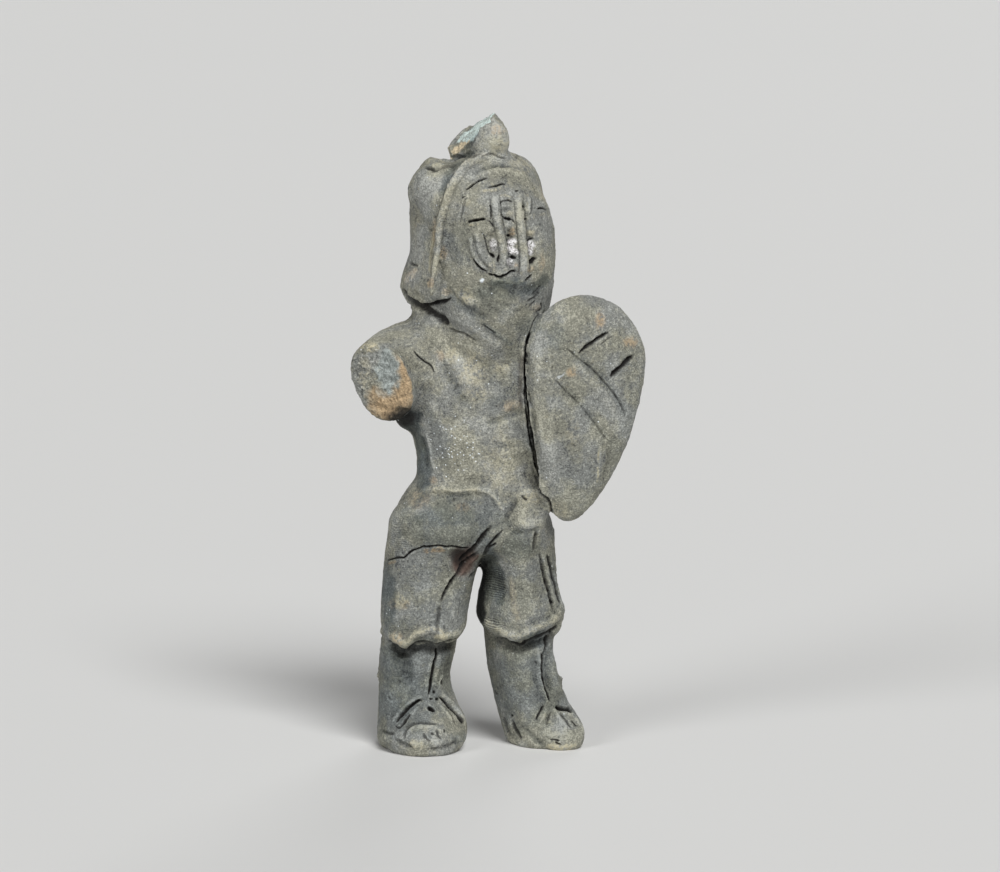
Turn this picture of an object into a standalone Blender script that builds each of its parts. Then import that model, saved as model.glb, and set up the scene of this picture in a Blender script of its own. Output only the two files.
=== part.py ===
"""A hand-modelled clay figurine of a gladiator, fired as one piece.

The figure faces -Y and stands on its two soles at z = 0, with +X on its left hand's side. It wears
a crested helmet with a closed visor and holds a long shield before its left side. Its right arm
and the rear of the crest are broken off. The form is made as a potter makes it: masses of soft
clay are pressed together and smoothed into one another, marks are cut with a stylus, and the
breaks and the soles are flat.
"""

import math

import bmesh
import bpy
import numpy as np
from mathutils import Matrix, Vector
from mathutils.bvhtree import BVHTree

# Driving sizes in metres.
HEIGHT = 0.1277
SHIELD_LENGTH = 0.0464
SHIELD_WIDTH = 0.0256
SHIELD_THICKNESS = 0.0050
SHIELD_BULGE = 0.0014
SHIELD_BOW = 0.0013
CREST_THICKNESS = 0.0066
BRIM_ROLL = 0.0018
STYLUS_WIDTH = 0.0017
STYLUS_DEPTH = 0.0010
GOUGE_WIDTH = 0.0024
GOUGE_DEPTH = 0.0017
GRILLE_BAR = 0.0016
GRILLE_DEPTH = 0.0013

# Turns about the vertical in degrees, positive towards the figure's left.
HEAD_TURN = 29.0
LEFT_LEG_TURN = 30.0
LEFT_FOOT_TURN = 36.0
SHIELD_TURN = 17.0
SHIELD_LEAN = 5.4

# Pose, proportions and carving are shares of the height, told in clay millimetres.
MM = HEIGHT / 127.7

# Places in clay millimetres.
HEAD_AT = (-3.4, 0.6)
BRIM_FORWARD = 5.7
BRIM_SPRING = 98.0
BRIM_ASIDE = -0.9
BRIM_HALF_WIDTH = 12.7
BRIM_FLARE = 0.4
BRIM_RISE = 21.0
BRIM_SLUMP = 1.3
SHIELD_AT = (15.2, -8.4, 69.1)

# The shield's widest line as a share of its length down from its top, and its foot's width as a
# share of its own. Its sides draw in to the foot by the taper's power, and the foot's corners are
# rounded by a power too: higher is squarer.
SHIELD_WIDEST = 0.29
SHIELD_FOOT = 0.24
SHIELD_TAPER = 1.7
SHIELD_FOOT_POWER = 18.0

# Fineness of the blended clay, and of the finished faceted solid.
CLAY_GRAIN = 0.32 * MM
BLEND_STRENGTH = 0.6
BLEND_PASSES = 22
FINISH_STRENGTH = 0.5
FINISH_PASSES = 2
FACETS = 9800
FACET_MERGE = 0.05 * MM
SHARP_ANGLE = math.radians(40.0)
SECTION_CORNERS = 12

# The carver's eye, from which the marks on the front are laid on: level 8 degrees above.
EYE_DISTANCE = 0.9
EYE_LIFT = math.radians(8.0)
EYE_TARGET = Vector((0.0, 0.0, 62.5 * MM))

CLAY_COLOUR = (0.17, 0.165, 0.145, 1.0)
CLAY_ROUGHNESS = 0.78


def clear_scene():
    for obj in list(bpy.data.objects):
        bpy.data.objects.remove(obj, do_unlink=True)


def new_collection(name):
    collection = bpy.data.collections.new(name)
    bpy.context.scene.collection.children.link(collection)
    return collection


def evaluated_mesh(obj):
    """The object's mesh with its modifiers applied."""
    graph = bpy.context.evaluated_depsgraph_get()
    graph.update()
    return bpy.data.meshes.new_from_object(obj.evaluated_get(graph))


def head_point(sideways, forward, height):
    """A point of the turned head, from its own sideways and forward reach, in clay millimetres."""
    turn = math.radians(HEAD_TURN)
    x = HEAD_AT[0] + sideways * math.cos(turn) + forward * math.sin(turn)
    y = HEAD_AT[1] + sideways * math.sin(turn) - forward * math.cos(turn)
    return (x, y, height)


def head_row(forward, height, half_width, half_depth, sideways=0.0):
    return head_point(sideways, forward, height) + (half_width, half_depth)


def add_mass(masses, name, bm, soften=2):
    """Makes a mass of clay an object: a guide for the blended body, not a solid of its own."""
    bmesh.ops.recalc_face_normals(bm, faces=bm.faces)
    mesh = bpy.data.meshes.new(name)
    bm.to_mesh(mesh)
    bm.free()
    obj = bpy.data.objects.new(name, mesh)
    masses.objects.link(obj)
    if soften:
        subdivide = obj.modifiers.new("soften", "SUBSURF")
        subdivide.levels = subdivide.render_levels = soften
    obj.hide_render = True
    obj.display_type = "WIRE"
    return obj


def section_ring(centre, tangent, across, half_width, half_depth, squareness):
    """The corners of one oval section. Squareness 2 is an ellipse, and more is boxier."""
    side = (across - tangent * across.dot(tangent)).normalized()
    deep = tangent.cross(side)
    # A cage of this many corners draws in by this share once it is subdivided.
    fullness = 3.0 / (2.0 + math.cos(math.tau / SECTION_CORNERS))
    corners = []
    for k in range(SECTION_CORNERS):
        angle = math.tau * k / SECTION_CORNERS
        c, s = math.cos(angle), math.sin(angle)
        reach_c = math.copysign(abs(c) ** (2.0 / squareness), c) * half_width * fullness
        reach_s = math.copysign(abs(s) ** (2.0 / squareness), s) * half_depth * fullness
        corners.append(centre + side * reach_c + deep * reach_s)
    return corners


def clay_loft(masses, name, rows, turn=0.0, across=None, squareness=2.3):
    """A mass through oval sections (x, y, z, half width, half depth), in clay millimetres."""
    if across is None:
        across = (math.cos(math.radians(turn)), math.sin(math.radians(turn)), 0.0)
    across = Vector(across).normalized()
    centres = [Vector(row[:3]) * MM for row in rows]
    bm = bmesh.new()
    rings = []
    for i, row in enumerate(rows):
        before, after = centres[max(i - 1, 0)], centres[min(i + 1, len(rows) - 1)]
        tangent = (after - before).normalized()
        corners = section_ring(centres[i], tangent, across, row[3] * MM, row[4] * MM, squareness)
        rings.append([bm.verts.new(corner) for corner in corners])
    for lower, upper in zip(rings, rings[1:]):
        for k in range(SECTION_CORNERS):
            n = (k + 1) % SECTION_CORNERS
            bm.faces.new((lower[k], lower[n], upper[n], upper[k]))
    bm.faces.new(rings[0])
    bm.faces.new(rings[-1])
    return add_mass(masses, name, bm)


def clay_lump(masses, name, centre, half_sizes, turn=0.0):
    """A rounded lump of three half sizes in clay millimetres."""
    bm = bmesh.new()
    bmesh.ops.create_uvsphere(bm, u_segments=32, v_segments=20, radius=1.0)
    place = Matrix.Translation(Vector(centre) * MM) @ Matrix.Rotation(math.radians(turn), 4, "Z")
    bm.transform(place @ Matrix.Diagonal((*(Vector(half_sizes) * MM), 1.0)))
    return add_mass(masses, name, bm, soften=0)


def clay_roll(masses, name, points, radius):
    """A rolled strip of clay along a line of points in metres."""
    curve = bpy.data.curves.new(name + "_line", "CURVE")
    curve.dimensions = "3D"
    curve.bevel_depth = radius
    curve.bevel_resolution = 2
    curve.use_fill_caps = True
    spline = curve.splines.new("POLY")
    spline.points.add(len(points) - 1)
    for knot, point in zip(spline.points, points):
        knot.co = (*point, 1.0)
    guide = bpy.data.objects.new(name + "_guide", curve)
    masses.objects.link(guide)
    bm = bmesh.new()
    bm.from_mesh(evaluated_mesh(guide))
    bmesh.ops.remove_doubles(bm, verts=bm.verts, dist=0.00001)
    bpy.data.objects.remove(guide)
    return add_mass(masses, name, bm, soften=0)


def model_legs(masses):
    clay_loft(masses, "right_shin", (
        (-15.4, -0.4, -2.0, 9.0, 8.6),
        (-15.6, -0.2, 2.0, 9.0, 8.4),
        (-16.2, 0.2, 6.0, 8.3, 8.0),
        (-16.9, 0.6, 10.0, 7.4, 7.4),
        (-17.1, 0.8, 14.0, 7.0, 7.2),
        (-16.8, 0.8, 18.0, 7.4, 7.4),
        (-15.8, 0.6, 22.0, 7.7, 7.4),
        (-15.6, 0.4, 27.0, 7.4, 7.5),
    ), squareness=2.8)
    clay_loft(masses, "right_foot", (
        (-15.6, 8.0, 3.0, 5.5, 3.6),
        (-15.6, 5.0, 3.8, 7.5, 5.4),
        (-15.4, 0.0, 4.2, 8.8, 6.0),
        (-15.0, -5.0, 3.6, 9.0, 5.4),
        (-14.4, -9.5, 2.2, 7.8, 4.4),
        (-13.9, -12.2, 1.2, 5.2, 3.4),
        (-13.6, -14.2, 0.8, 2.4, 2.2),
    ))
    clay_loft(masses, "right_thigh", (
        (-15.0, -0.4, 22.6, 6.8, 7.0),
        (-15.0, -0.8, 23.6, 8.5, 9.0),
        (-15.1, -1.0, 25.4, 8.7, 9.3),
        (-15.0, -0.6, 28.4, 8.7, 8.8),
        (-14.6, -0.4, 31.0, 8.8, 8.9),
        (-14.0, -0.4, 36.0, 9.0, 9.4),
        (-12.9, -0.4, 41.0, 9.6, 10.2),
        (-12.0, 0.0, 46.0, 9.2, 9.8),
    ), squareness=2.7)

    clay_loft(masses, "left_shin", (
        (9.2, 1.0, -2.0, 6.4, 7.6),
        (8.7, 1.2, 2.0, 6.5, 7.6),
        (7.2, 1.6, 6.0, 6.4, 7.4),
        (5.8, 2.0, 10.0, 6.2, 7.0),
        (4.7, 2.2, 14.0, 6.1, 6.9),
        (4.1, 2.2, 18.0, 6.1, 7.0),
        (3.9, 2.0, 22.0, 6.2, 7.1),
        (3.9, 1.8, 27.0, 6.4, 7.2),
    ), turn=LEFT_LEG_TURN, squareness=2.8)
    clay_loft(masses, "left_foot", (
        (5.6, 8.0, 3.0, 4.0, 3.6),
        (6.8, 5.4, 3.8, 5.0, 5.0),
        (8.2, 2.6, 4.4, 6.6, 5.8),
        (10.8, -1.2, 3.6, 6.4, 5.0),
        (12.8, -4.2, 2.2, 5.2, 3.8),
        (14.0, -6.2, 1.4, 3.6, 2.8),
        (14.6, -7.4, 1.0, 2.0, 1.8),
    ), turn=LEFT_FOOT_TURN)
    clay_loft(masses, "left_thigh", (
        (3.8, 1.4, 22.4, 5.8, 6.6),
        (3.9, 1.2, 23.6, 7.3, 8.1),
        (4.1, 1.2, 25.2, 7.7, 8.4),
        (4.2, 1.2, 27.6, 7.8, 8.4),
        (4.1, 1.2, 30.8, 7.1, 8.0),
        (4.1, 0.8, 34.5, 5.9, 7.5),
        (3.6, 0.0, 38.0, 5.9, 8.0),
        (2.9, 0.0, 43.0, 6.8, 9.0),
        (1.5, 1.0, 47.0, 7.2, 8.4),
    ), turn=LEFT_LEG_TURN, squareness=3.2)


def model_torso(masses):
    clay_loft(masses, "torso", (
        (-6.6, 0.6, 38.8, 11.6, 8.4),
        (-6.5, 0.6, 42.5, 15.2, 10.4),
        (-6.2, 0.6, 45.6, 14.6, 10.2),
        (-4.4, 0.4, 49.4, 12.8, 9.2),
        (-3.4, 0.2, 53.5, 13.0, 8.6),
        (-3.4, 0.2, 58.5, 12.9, 8.6),
        (-3.6, 0.2, 63.0, 13.7, 9.0),
        (-3.4, 0.2, 68.0, 15.6, 9.6),
        (-3.2, 0.4, 73.0, 16.6, 9.8),
        (-3.2, 0.8, 78.0, 16.8, 9.8),
        (-3.4, 1.0, 82.0, 15.8, 9.6),
        (-3.8, 1.0, 86.0, 14.4, 9.0),
        (-3.8, 0.8, 92.0, 11.4, 8.4),
    ), squareness=2.5)
    clay_lump(masses, "right_loincloth", (-11.4, -3.6, 44.6), (10.8, 8.6, 7.8), turn=-4.0)
    clay_lump(masses, "left_loincloth", (4.6, -3.8, 45.0), (4.8, 6.8, 6.0), turn=14.0)
    clay_lump(masses, "left_hip_knob", (6.4, -7.4, 49.3), (3.9, 2.9, 4.4))
    clay_lump(masses, "right_buttock", (-12.4, 5.0, 43.0), (8.2, 7.6, 8.0))
    clay_lump(masses, "left_buttock", (1.6, 5.0, 43.0), (8.0, 7.4, 7.8))


def model_arms(masses):
    clay_loft(masses, "right_shoulder", (
        (-8.0, 1.0, 78.0, 8.8, 7.6),
        (-14.0, 0.4, 78.0, 9.2, 7.6),
        (-19.6, -1.6, 76.0, 8.9, 7.2),
        (-22.6, -5.5, 74.8, 8.3, 6.5),
        (-23.4, -10.0, 74.2, 7.9, 5.9),
        (-23.6, -15.0, 73.6, 7.4, 5.6),
    ), across=(-0.42, 0, 1))
    clay_lump(masses, "armpit_web", (-17.4, -1.0, 66.8), (3.5, 4.6, 3.2))
    clay_loft(masses, "left_arm", (
        (4.0, 1.0, 77.5, 7.6, 7.6),
        (11.0, 1.4, 77.0, 7.4, 7.4),
        (15.4, 1.6, 73.0, 6.4, 6.4),
        (17.4, 1.4, 66.5, 5.4, 5.6),
        (17.6, 0.2, 60.5, 4.8, 5.0),
        (16.2, -2.4, 56.6, 4.4, 4.6),
        (13.6, -5.0, 56.0, 4.0, 4.2),
    ), across=(0, 1, 0))


def model_helmet(masses):
    clay_loft(masses, "helmet_bowl", (
        head_row(-2.0, 87.4, 10.2, 11.0),
        head_row(-2.8, 89.6, 12.6, 12.4),
        head_row(-3.0, 91.2, 14.8, 14.2),
        head_row(-2.8, 93.0, 14.4, 14.2),
        head_row(-1.8, 96.0, 13.2, 13.8),
        head_row(-0.9, 101.0, 12.8, 14.2),
        head_row(-0.9, 108.0, 13.1, 14.4, sideways=-0.3),
        head_row(-1.8, 112.8, 12.8, 13.2, sideways=-1.2),
        head_row(-3.0, 115.8, 9.6, 9.8, sideways=-1.9),
        head_row(-3.6, 117.6, 5.2, 5.6, sideways=-2.2),
    ), turn=HEAD_TURN)
    clay_loft(masses, "visor", (
        head_row(4.0, 76.6, 5.0, 4.6),
        head_row(4.2, 79.0, 7.0, 6.0),
        head_row(4.6, 83.0, 9.2, 7.8),
        head_row(4.8, 87.0, 10.4, 9.0),
        head_row(5.0, 91.5, 11.4, 9.8, sideways=0.3),
        head_row(4.8, 97.0, 11.8, 10.8, sideways=0.3),
        head_row(4.6, 103.0, 11.8, 11.0, sideways=0.3),
        head_row(4.2, 108.5, 10.9, 10.4, sideways=0.2),
        head_row(3.6, 112.6, 8.8, 8.8),
        head_row(3.0, 115.6, 6.0, 6.4, sideways=-0.6),
        head_row(2.8, 117.4, 2.6, 3.2, sideways=-1.0),
    ), turn=HEAD_TURN)
    half = CREST_THICKNESS / MM / 2
    clay_loft(masses, "crest", (
        head_row(6.4, 118.4, 3.0, half * 0.7),
        head_row(5.4, 119.4, 6.6, half * 0.92),
        head_row(3.2, 120.0, 8.5, half),
        head_row(0.0, 120.0, 8.6, half),
        head_row(-4.0, 119.4, 8.2, half),
        head_row(-8.0, 118.6, 8.0, half),
        head_row(-9.4, 117.6, 6.0, half * 0.9),
    ), across=(0, 0, 1))
    clay_lump(masses, "bowl_corner", head_point(-8.6, -2.4, 111.4), (5.6, 7.4, 5.8), turn=HEAD_TURN)
    clay_lump(masses, "crest_stub", head_point(-7.0, -5.6, 116.4), (3.4, 2.6, 2.0), turn=HEAD_TURN)
    clay_roll(masses, "brim", [Vector(p) * MM for p in brim_line()], BRIM_ROLL / 2)


def brim_line(outset=0.0, knots=28):
    """The helmet's brim: an arch over the visor, slumped on its left, with legs that flare."""
    points = []
    for k in range(knots + 1):
        angle = math.radians(-18.0 + 216.0 * k / knots)
        flare = BRIM_FLARE * max(0.0, -math.sin(angle)) * BRIM_HALF_WIDTH
        across = BRIM_ASIDE + (BRIM_HALF_WIDTH + outset + flare) * math.cos(angle)
        slump = BRIM_SLUMP * max(0.0, math.sin(2.0 * angle) * math.cos(angle))
        height = BRIM_SPRING + (BRIM_RISE + outset) * math.sin(angle) - slump
        points.append(head_point(across, BRIM_FORWARD, height))
    return points


def shield_frame():
    place = Matrix.Translation(Vector(SHIELD_AT) * MM)
    turn = Matrix.Rotation(math.radians(SHIELD_TURN), 4, "Z")
    lean = Matrix.Rotation(math.radians(SHIELD_LEAN), 4, "Y")
    return place @ turn @ lean


def shield_half_width(down):
    """Half the shield's width at a share of its length down from the top."""
    if down < SHIELD_WIDEST:
        rise = (SHIELD_WIDEST - down) / SHIELD_WIDEST
        return SHIELD_WIDTH / 2 * math.sqrt(max(0.0, 1.0 - rise * rise))
    fall = (down - SHIELD_WIDEST) / (1.0 - SHIELD_WIDEST)
    straight = 1.0 - (1.0 - SHIELD_FOOT) * fall ** SHIELD_TAPER
    return SHIELD_WIDTH / 2 * straight * math.sqrt(max(0.0, 1.0 - fall ** SHIELD_FOOT_POWER))


def shield_bow(along):
    """How far the shield's middle line bows sideways at a share of its half length."""
    return SHIELD_BOW * (1.0 - along * along)


def shield_outline(steps=20):
    """The outline down the right-hand side and back up the other, evenly spread by angle."""
    side = []
    for k in range(steps + 1):
        down = 0.5 - 0.5 * math.cos(math.pi * k / steps)
        side.append((shield_half_width(down), SHIELD_LENGTH * (0.5 - down)))
    back = [(-x, z) for x, z in side[-2:0:-1]]
    return side + back


def model_shield(masses):
    """The shield is a slab with a soft edge, whose face bulges a little forwards."""
    bm = bmesh.new()
    layers = ((-0.5, 0.82), (-0.32, 0.965), (0.0, 1.0), (0.32, 0.965), (0.5, 0.82))
    rings = []
    for depth, share in layers:
        ring = []
        for x, z in shield_outline():
            ring.append(bm.verts.new((x * share, depth * SHIELD_THICKNESS, z * share)))
        rings.append(ring)
    count = len(rings[0])
    for near, far in zip(rings, rings[1:]):
        for k in range(count):
            n = (k + 1) % count
            bm.faces.new((near[k], near[n], far[n], far[k]))
    for ring in (rings[0], rings[-1]):
        inner = [bm.verts.new(Vector((v.co.x * 0.5, v.co.y, v.co.z * 0.5))) for v in ring]
        for k in range(count):
            n = (k + 1) % count
            bm.faces.new((ring[k], ring[n], inner[n], inner[k]))
        bm.faces.new(inner)
    for v in bm.verts:
        across = v.co.x / (SHIELD_WIDTH / 2)
        along = v.co.z / (SHIELD_LENGTH / 2)
        v.co.y -= SHIELD_BULGE * max(0.0, 1.0 - across * across - along * along)
        v.co.x += shield_bow(along)
    bm.transform(shield_frame())
    add_mass(masses, "shield_slab", bm, soften=1)


def blend(masses):
    """Presses the masses into one skin and smooths it, as wet clay is smoothed with a finger."""
    bm = bmesh.new()
    for obj in masses.objects:
        bm.from_mesh(evaluated_mesh(obj))
    mesh = bpy.data.meshes.new("pressed_clay")
    bm.to_mesh(mesh)
    bm.free()
    pressed = bpy.data.objects.new("pressed_clay", mesh)
    masses.objects.link(pressed)
    skin = pressed.modifiers.new("skin", "REMESH")
    skin.mode = "VOXEL"
    skin.voxel_size = CLAY_GRAIN
    smooth = pressed.modifiers.new("smooth", "SMOOTH")
    smooth.factor = BLEND_STRENGTH
    smooth.iterations = BLEND_PASSES
    blended = evaluated_mesh(pressed)
    bpy.data.objects.remove(pressed)
    bm = bmesh.new()
    bm.from_mesh(blended)
    bmesh.ops.triangulate(bm, faces=bm.faces)
    return bm


class Carver:
    """Marks the blended clay: each mark is laid on the skin along a sight line and pressed in."""

    def __init__(self, bm):
        self.tree = BVHTree.FromBMesh(bm)
        self.points = np.array([v.co for v in bm.verts])
        self.eye = EYE_TARGET + EYE_DISTANCE * Vector((0.0, -math.cos(EYE_LIFT), math.sin(EYE_LIFT)))
        self.upright = Vector((0.0, math.sin(EYE_LIFT), math.cos(EYE_LIFT)))

    def seen(self, across, height):
        """The skin's point and normal where the eye sees a place given in clay millimetres."""
        above = height * MM - EYE_TARGET.z
        aim = EYE_TARGET + Vector((across * MM, 0.0, 0.0)) + self.upright * above
        hit, normal, _, _ = self.tree.ray_cast(self.eye, (aim - self.eye).normalized())
        return hit, normal

    def on_shield(self, across, along):
        """The same for a place on the shield, in shares of its half width and half length."""
        frame = shield_frame()
        aside = across * SHIELD_WIDTH / 2 + shield_bow(along)
        start = frame @ Vector((aside, -SHIELD_WIDTH, along * SHIELD_LENGTH / 2))
        hit, normal, _, _ = self.tree.ray_cast(start, frame.to_3x3() @ Vector((0, 1, 0)))
        return hit, normal

    def near(self, x, y, z):
        """The skin's nearest point and normal to a place in clay millimetres."""
        hit, normal, _, _ = self.tree.find_nearest(Vector((x, y, z)) * MM)
        return hit, normal

    def press(self, finder, line, width, depth, taper=0.35):
        """Cuts a mark along a line of places. A negative depth raises a ridge instead."""
        knots = smooth_line(line)
        samples = [finder(*knot) for knot in knots]
        samples = [(hit, normal) for hit, normal in samples if hit is not None]
        places = np.array([hit for hit, _ in samples])
        inward = -np.mean([normal for _, normal in samples], axis=0)
        inward /= np.linalg.norm(inward)
        along = np.linspace(0.0, 1.0, len(places))
        full = np.clip(np.minimum(along, 1.0 - along) / max(taper, 1e-6), 0.0, 1.0) ** 0.5
        reach = width / 2 * (0.35 + 0.65 * full)
        low, high = places.min(axis=0) - width, places.max(axis=0) + width
        close = np.where(np.all((self.points > low) & (self.points < high), axis=1))[0]
        gaps = np.linalg.norm(self.points[close][:, None, :] - places[None, :, :], axis=2)
        nearest = gaps.argmin(axis=1)
        share = np.clip(1.0 - gaps.min(axis=1) / reach[nearest], 0.0, 1.0)
        share = share * share * (3.0 - 2.0 * share)
        self.points[close] += inward * (depth * share * full[nearest])[:, None]


def smooth_line(line, steps=10):
    """A smooth curve through a few places, with straight pieces where only two are given."""
    if len(line) == 2:
        shares = [k / (2 * steps) for k in range(2 * steps + 1)]
        return [tuple(p + (q - p) * share for p, q in zip(*line)) for share in shares]
    padded = [line[0], *line, line[-1]]
    points = []
    for a, b, c, d in zip(padded, padded[1:], padded[2:], padded[3:]):
        for k in range(steps):
            t = k / steps
            point = []
            for p, q, r, s in zip(a, b, c, d):
                bend = (2 * p - 5 * q + 4 * r - s) * t * t + (3 * q - p - 3 * r + s) * t * t * t
                point.append(0.5 * (2 * q + (r - p) * t + bend))
            points.append(tuple(point))
    points.append(tuple(line[-1]))
    return points


def carve_helmet(carver):
    for outset in (-1.7, 1.7):
        groove = brim_line(outset)[3:-3]
        carver.press(carver.near, groove, STYLUS_WIDTH * 1.2, STYLUS_DEPTH * 0.55, taper=0.05)
    # Two upright bars, a half bar, and the cells cut between them.
    for cell in (
        ((-2.2, 104.0), (-1.8, 100.0), (-0.9, 96.2)),
        ((1.2, 110.0), (1.6, 103.0), (2.4, 96.0)),
        ((5.8, 106.0), (6.0, 101.0), (6.0, 96.4)),
    ):
        carver.press(carver.seen, cell, GRILLE_BAR * 2.2, GRILLE_DEPTH, taper=0.15)
    for bar in (
        ((-1.2, 111.2), (0.4, 94.8)),
        ((3.2, 111.0), (4.2, 94.8)),
        ((5.4, 111.2), (6.0, 106.4)),
    ):
        carver.press(carver.seen, bar, GRILLE_BAR * 1.6, -GRILLE_DEPTH * 0.5, taper=0.1)
    for cut in (
        ((-5.8, 99.8), (-2.8, 95.3), (0.0, 94.3), (3.4, 95.7)),
        ((-6.4, 105.3), (-2.8, 106.1)),
        ((7.2, 108.1), (9.2, 107.5)),
    ):
        carver.press(carver.seen, cut, STYLUS_WIDTH, STYLUS_DEPTH)
    for crack in (((-7.2, 111.5), (-2.6, 114.3), (0.0, 115.3)), ((-3.0, 112.1), (1.0, 113.1))):
        carver.press(carver.seen, crack, STYLUS_WIDTH * 0.8, STYLUS_DEPTH * 0.5)


def carve_body(carver):
    under_helmet = ((-19.8, 91.4), (-15.0, 87.7), (-10.0, 84.7), (-3.0, 81.3))
    carver.press(carver.seen, under_helmet, STYLUS_WIDTH * 1.8, STYLUS_DEPTH * 1.4)
    bib_crease = ((-5.0, 86.1), (-2.0, 84.1), (3.0, 80.3))
    carver.press(carver.seen, bib_crease, STYLUS_WIDTH, STYLUS_DEPTH * 0.8)
    beside_shield = ((8.4, 89.0), (5.4, 82.5), (4.6, 74.7), (5.4, 65.5), (7.2, 56.7), (9.8, 48.0))
    carver.press(carver.seen, beside_shield, STYLUS_WIDTH * 1.5, STYLUS_DEPTH * 0.9, taper=0.1)
    groin = ((-0.6, 45.7), (-5.6, 39.7), (-9.0, 33.7), (-11.6, 28.1))
    carver.press(carver.seen, groin, GOUGE_WIDTH, GOUGE_DEPTH, taper=0.5)
    thigh_crack = (
        (-22.6, 37.1), (-20.2, 38.5), (-18.0, 39.1), (-15.0, 40.5), (-9.0, 40.5), (-6.0, 40.3),
    )
    carver.press(carver.seen, thigh_crack, STYLUS_WIDTH * 0.8, STYLUS_DEPTH * 0.6, taper=0.1)
    carver.press(carver.seen, ((2.0, 41.1), (6.0, 40.3), (9.4, 41.7)), STYLUS_WIDTH, STYLUS_DEPTH * 0.4)


def carve_legs(carver):
    hems = (
        ((-22.6, 20.7), (-19.0, 19.9), (-13.4, 20.3), (-6.8, 20.5)),
        ((-3.8, 22.4), (0.2, 21.0), (4.4, 20.9), (8.4, 22.0), (12.2, 24.3)),
    )
    for hem in hems:
        carver.press(carver.seen, hem, STYLUS_WIDTH * 1.5, STYLUS_DEPTH, taper=0.1)
    shin_lines = (
        ((-13.0, 19.7), (-13.4, 13.7), (-14.0, 9.3)),
        ((10.4, 21.7), (9.0, 15.7), (9.0, 11.7), (11.0, 4.7)),
    )
    for shin_line in shin_lines:
        carver.press(carver.seen, shin_line, STYLUS_WIDTH, STYLUS_DEPTH)
    straps = (
        ((-14.0, 9.3), (-18.0, 7.3), (-21.4, 4.7)),
        ((-14.0, 9.3), (-10.0, 7.7), (-6.4, 2.7)),
        ((9.0, 8.7), (8.0, 6.5), (7.6, 4.5)),
        ((11.2, 5.3), (14.4, 4.5)),
    )
    for strap in straps:
        carver.press(carver.seen, strap, STYLUS_WIDTH, STYLUS_DEPTH, taper=0.2)
    creases = (
        ((8.6, 43.7), (7.6, 38.7)),
        ((7.0, 39.3), (9.0, 33.1), (10.4, 25.7)),
    )
    for crease in creases:
        carver.press(carver.seen, crease, STYLUS_WIDTH, STYLUS_DEPTH * 0.8)


def carve_shield(carver):
    """Two strokes mark a slanting band, and two short ones stand above it."""
    bands = (
        ((-0.36, 0.53), (-0.13, 0.46), (0.08, 0.37), (0.5, 0.11), (0.71, -0.09)),
        ((-0.5, 0.26), (0.0, -0.02), (0.38, -0.29)),
    )
    strokes = (
        ((-0.13, 0.46), (0.12, 0.58), (0.41, 0.67)),
        ((0.41, 0.27), (0.81, 0.47)),
    )
    for line in bands:
        carver.press(carver.on_shield, line, STYLUS_WIDTH * 1.4, STYLUS_DEPTH * 0.8, taper=0.15)
    for line in strokes:
        carver.press(carver.on_shield, line, STYLUS_WIDTH, STYLUS_DEPTH, taper=0.15)


def break_block(cutters, body, name, point, normal, slope, span):
    """Cuts away a block that has one face on a break. The span is along the slope, in clay mm."""
    outward = Vector(normal).normalized()
    along = (Vector(slope) - outward * outward.dot(Vector(slope))).normalized()
    turned = Matrix((along, outward.cross(along), outward)).transposed().to_4x4()
    bm = bmesh.new()
    bmesh.ops.create_cube(bm, size=1.0)
    low, high, wide, deep = span
    size = Vector((high - low, wide, deep)) * MM
    middle = Vector(((high + low) / 2, 0.0, deep / 2)) * MM
    bm.transform(Matrix.Translation(middle) @ Matrix.Diagonal((*size, 1.0)))
    mesh = bpy.data.meshes.new(name)
    bm.to_mesh(mesh)
    bm.free()
    block = bpy.data.objects.new(name, mesh)
    block.matrix_world = Matrix.Translation(Vector(point) * MM) @ turned
    block.hide_render = True
    block.display_type = "WIRE"
    cutters.objects.link(block)
    cut = body.modifiers.new(name, "BOOLEAN")
    cut.operation = "DIFFERENCE"
    cut.solver = "EXACT"
    cut.object = block


def break_and_level(cutters, body):
    """The lost sword arm, the lost rear of the crest, and the flat soles."""
    break_block(
        cutters, body, "sword_arm_break", (-23.6, -9.0, 73.8), (-0.32, -0.93, -0.18),
        slope=(0.0, 0.0, 1.0), span=(-11.0, 11.0, 20.0, 9.0),
    )
    break_block(
        cutters, body, "crest_break", (-5.6, 0.0, 123.6), (-0.655, -0.05, 0.755),
        slope=(1.0, 0.0, 0.0), span=(-6.9, 11.0, 30.0, 9.0),
    )
    break_block(
        cutters, body, "level_soles", (0.0, 0.0, 0.0), (0.0, 0.0, -1.0),
        slope=(1.0, 0.0, 0.0), span=(-50.0, 50.0, 60.0, 9.0),
    )


def centre_on_origin(mesh):
    """Stands the middle of the figure's footprint box on the origin."""
    points = np.array([v.co for v in mesh.vertices])
    middle = (points.min(axis=0) + points.max(axis=0)) / 2
    mesh.transform(Matrix.Translation((-middle[0], -middle[1], -points[:, 2].min())))


def finished_mesh(body):
    """The thinned and broken solid, free of needle-thin facets."""
    bm = bmesh.new()
    bm.from_mesh(evaluated_mesh(body))
    bmesh.ops.dissolve_degenerate(bm, dist=FACET_MERGE, edges=bm.edges)
    bmesh.ops.triangulate(bm, faces=bm.faces)
    mesh = bpy.data.meshes.new("gladiator_figurine")
    bm.to_mesh(mesh)
    bm.free()
    centre_on_origin(mesh)
    mesh.shade_smooth()
    mesh.set_sharp_from_angle(angle=SHARP_ANGLE)
    return mesh


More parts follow.
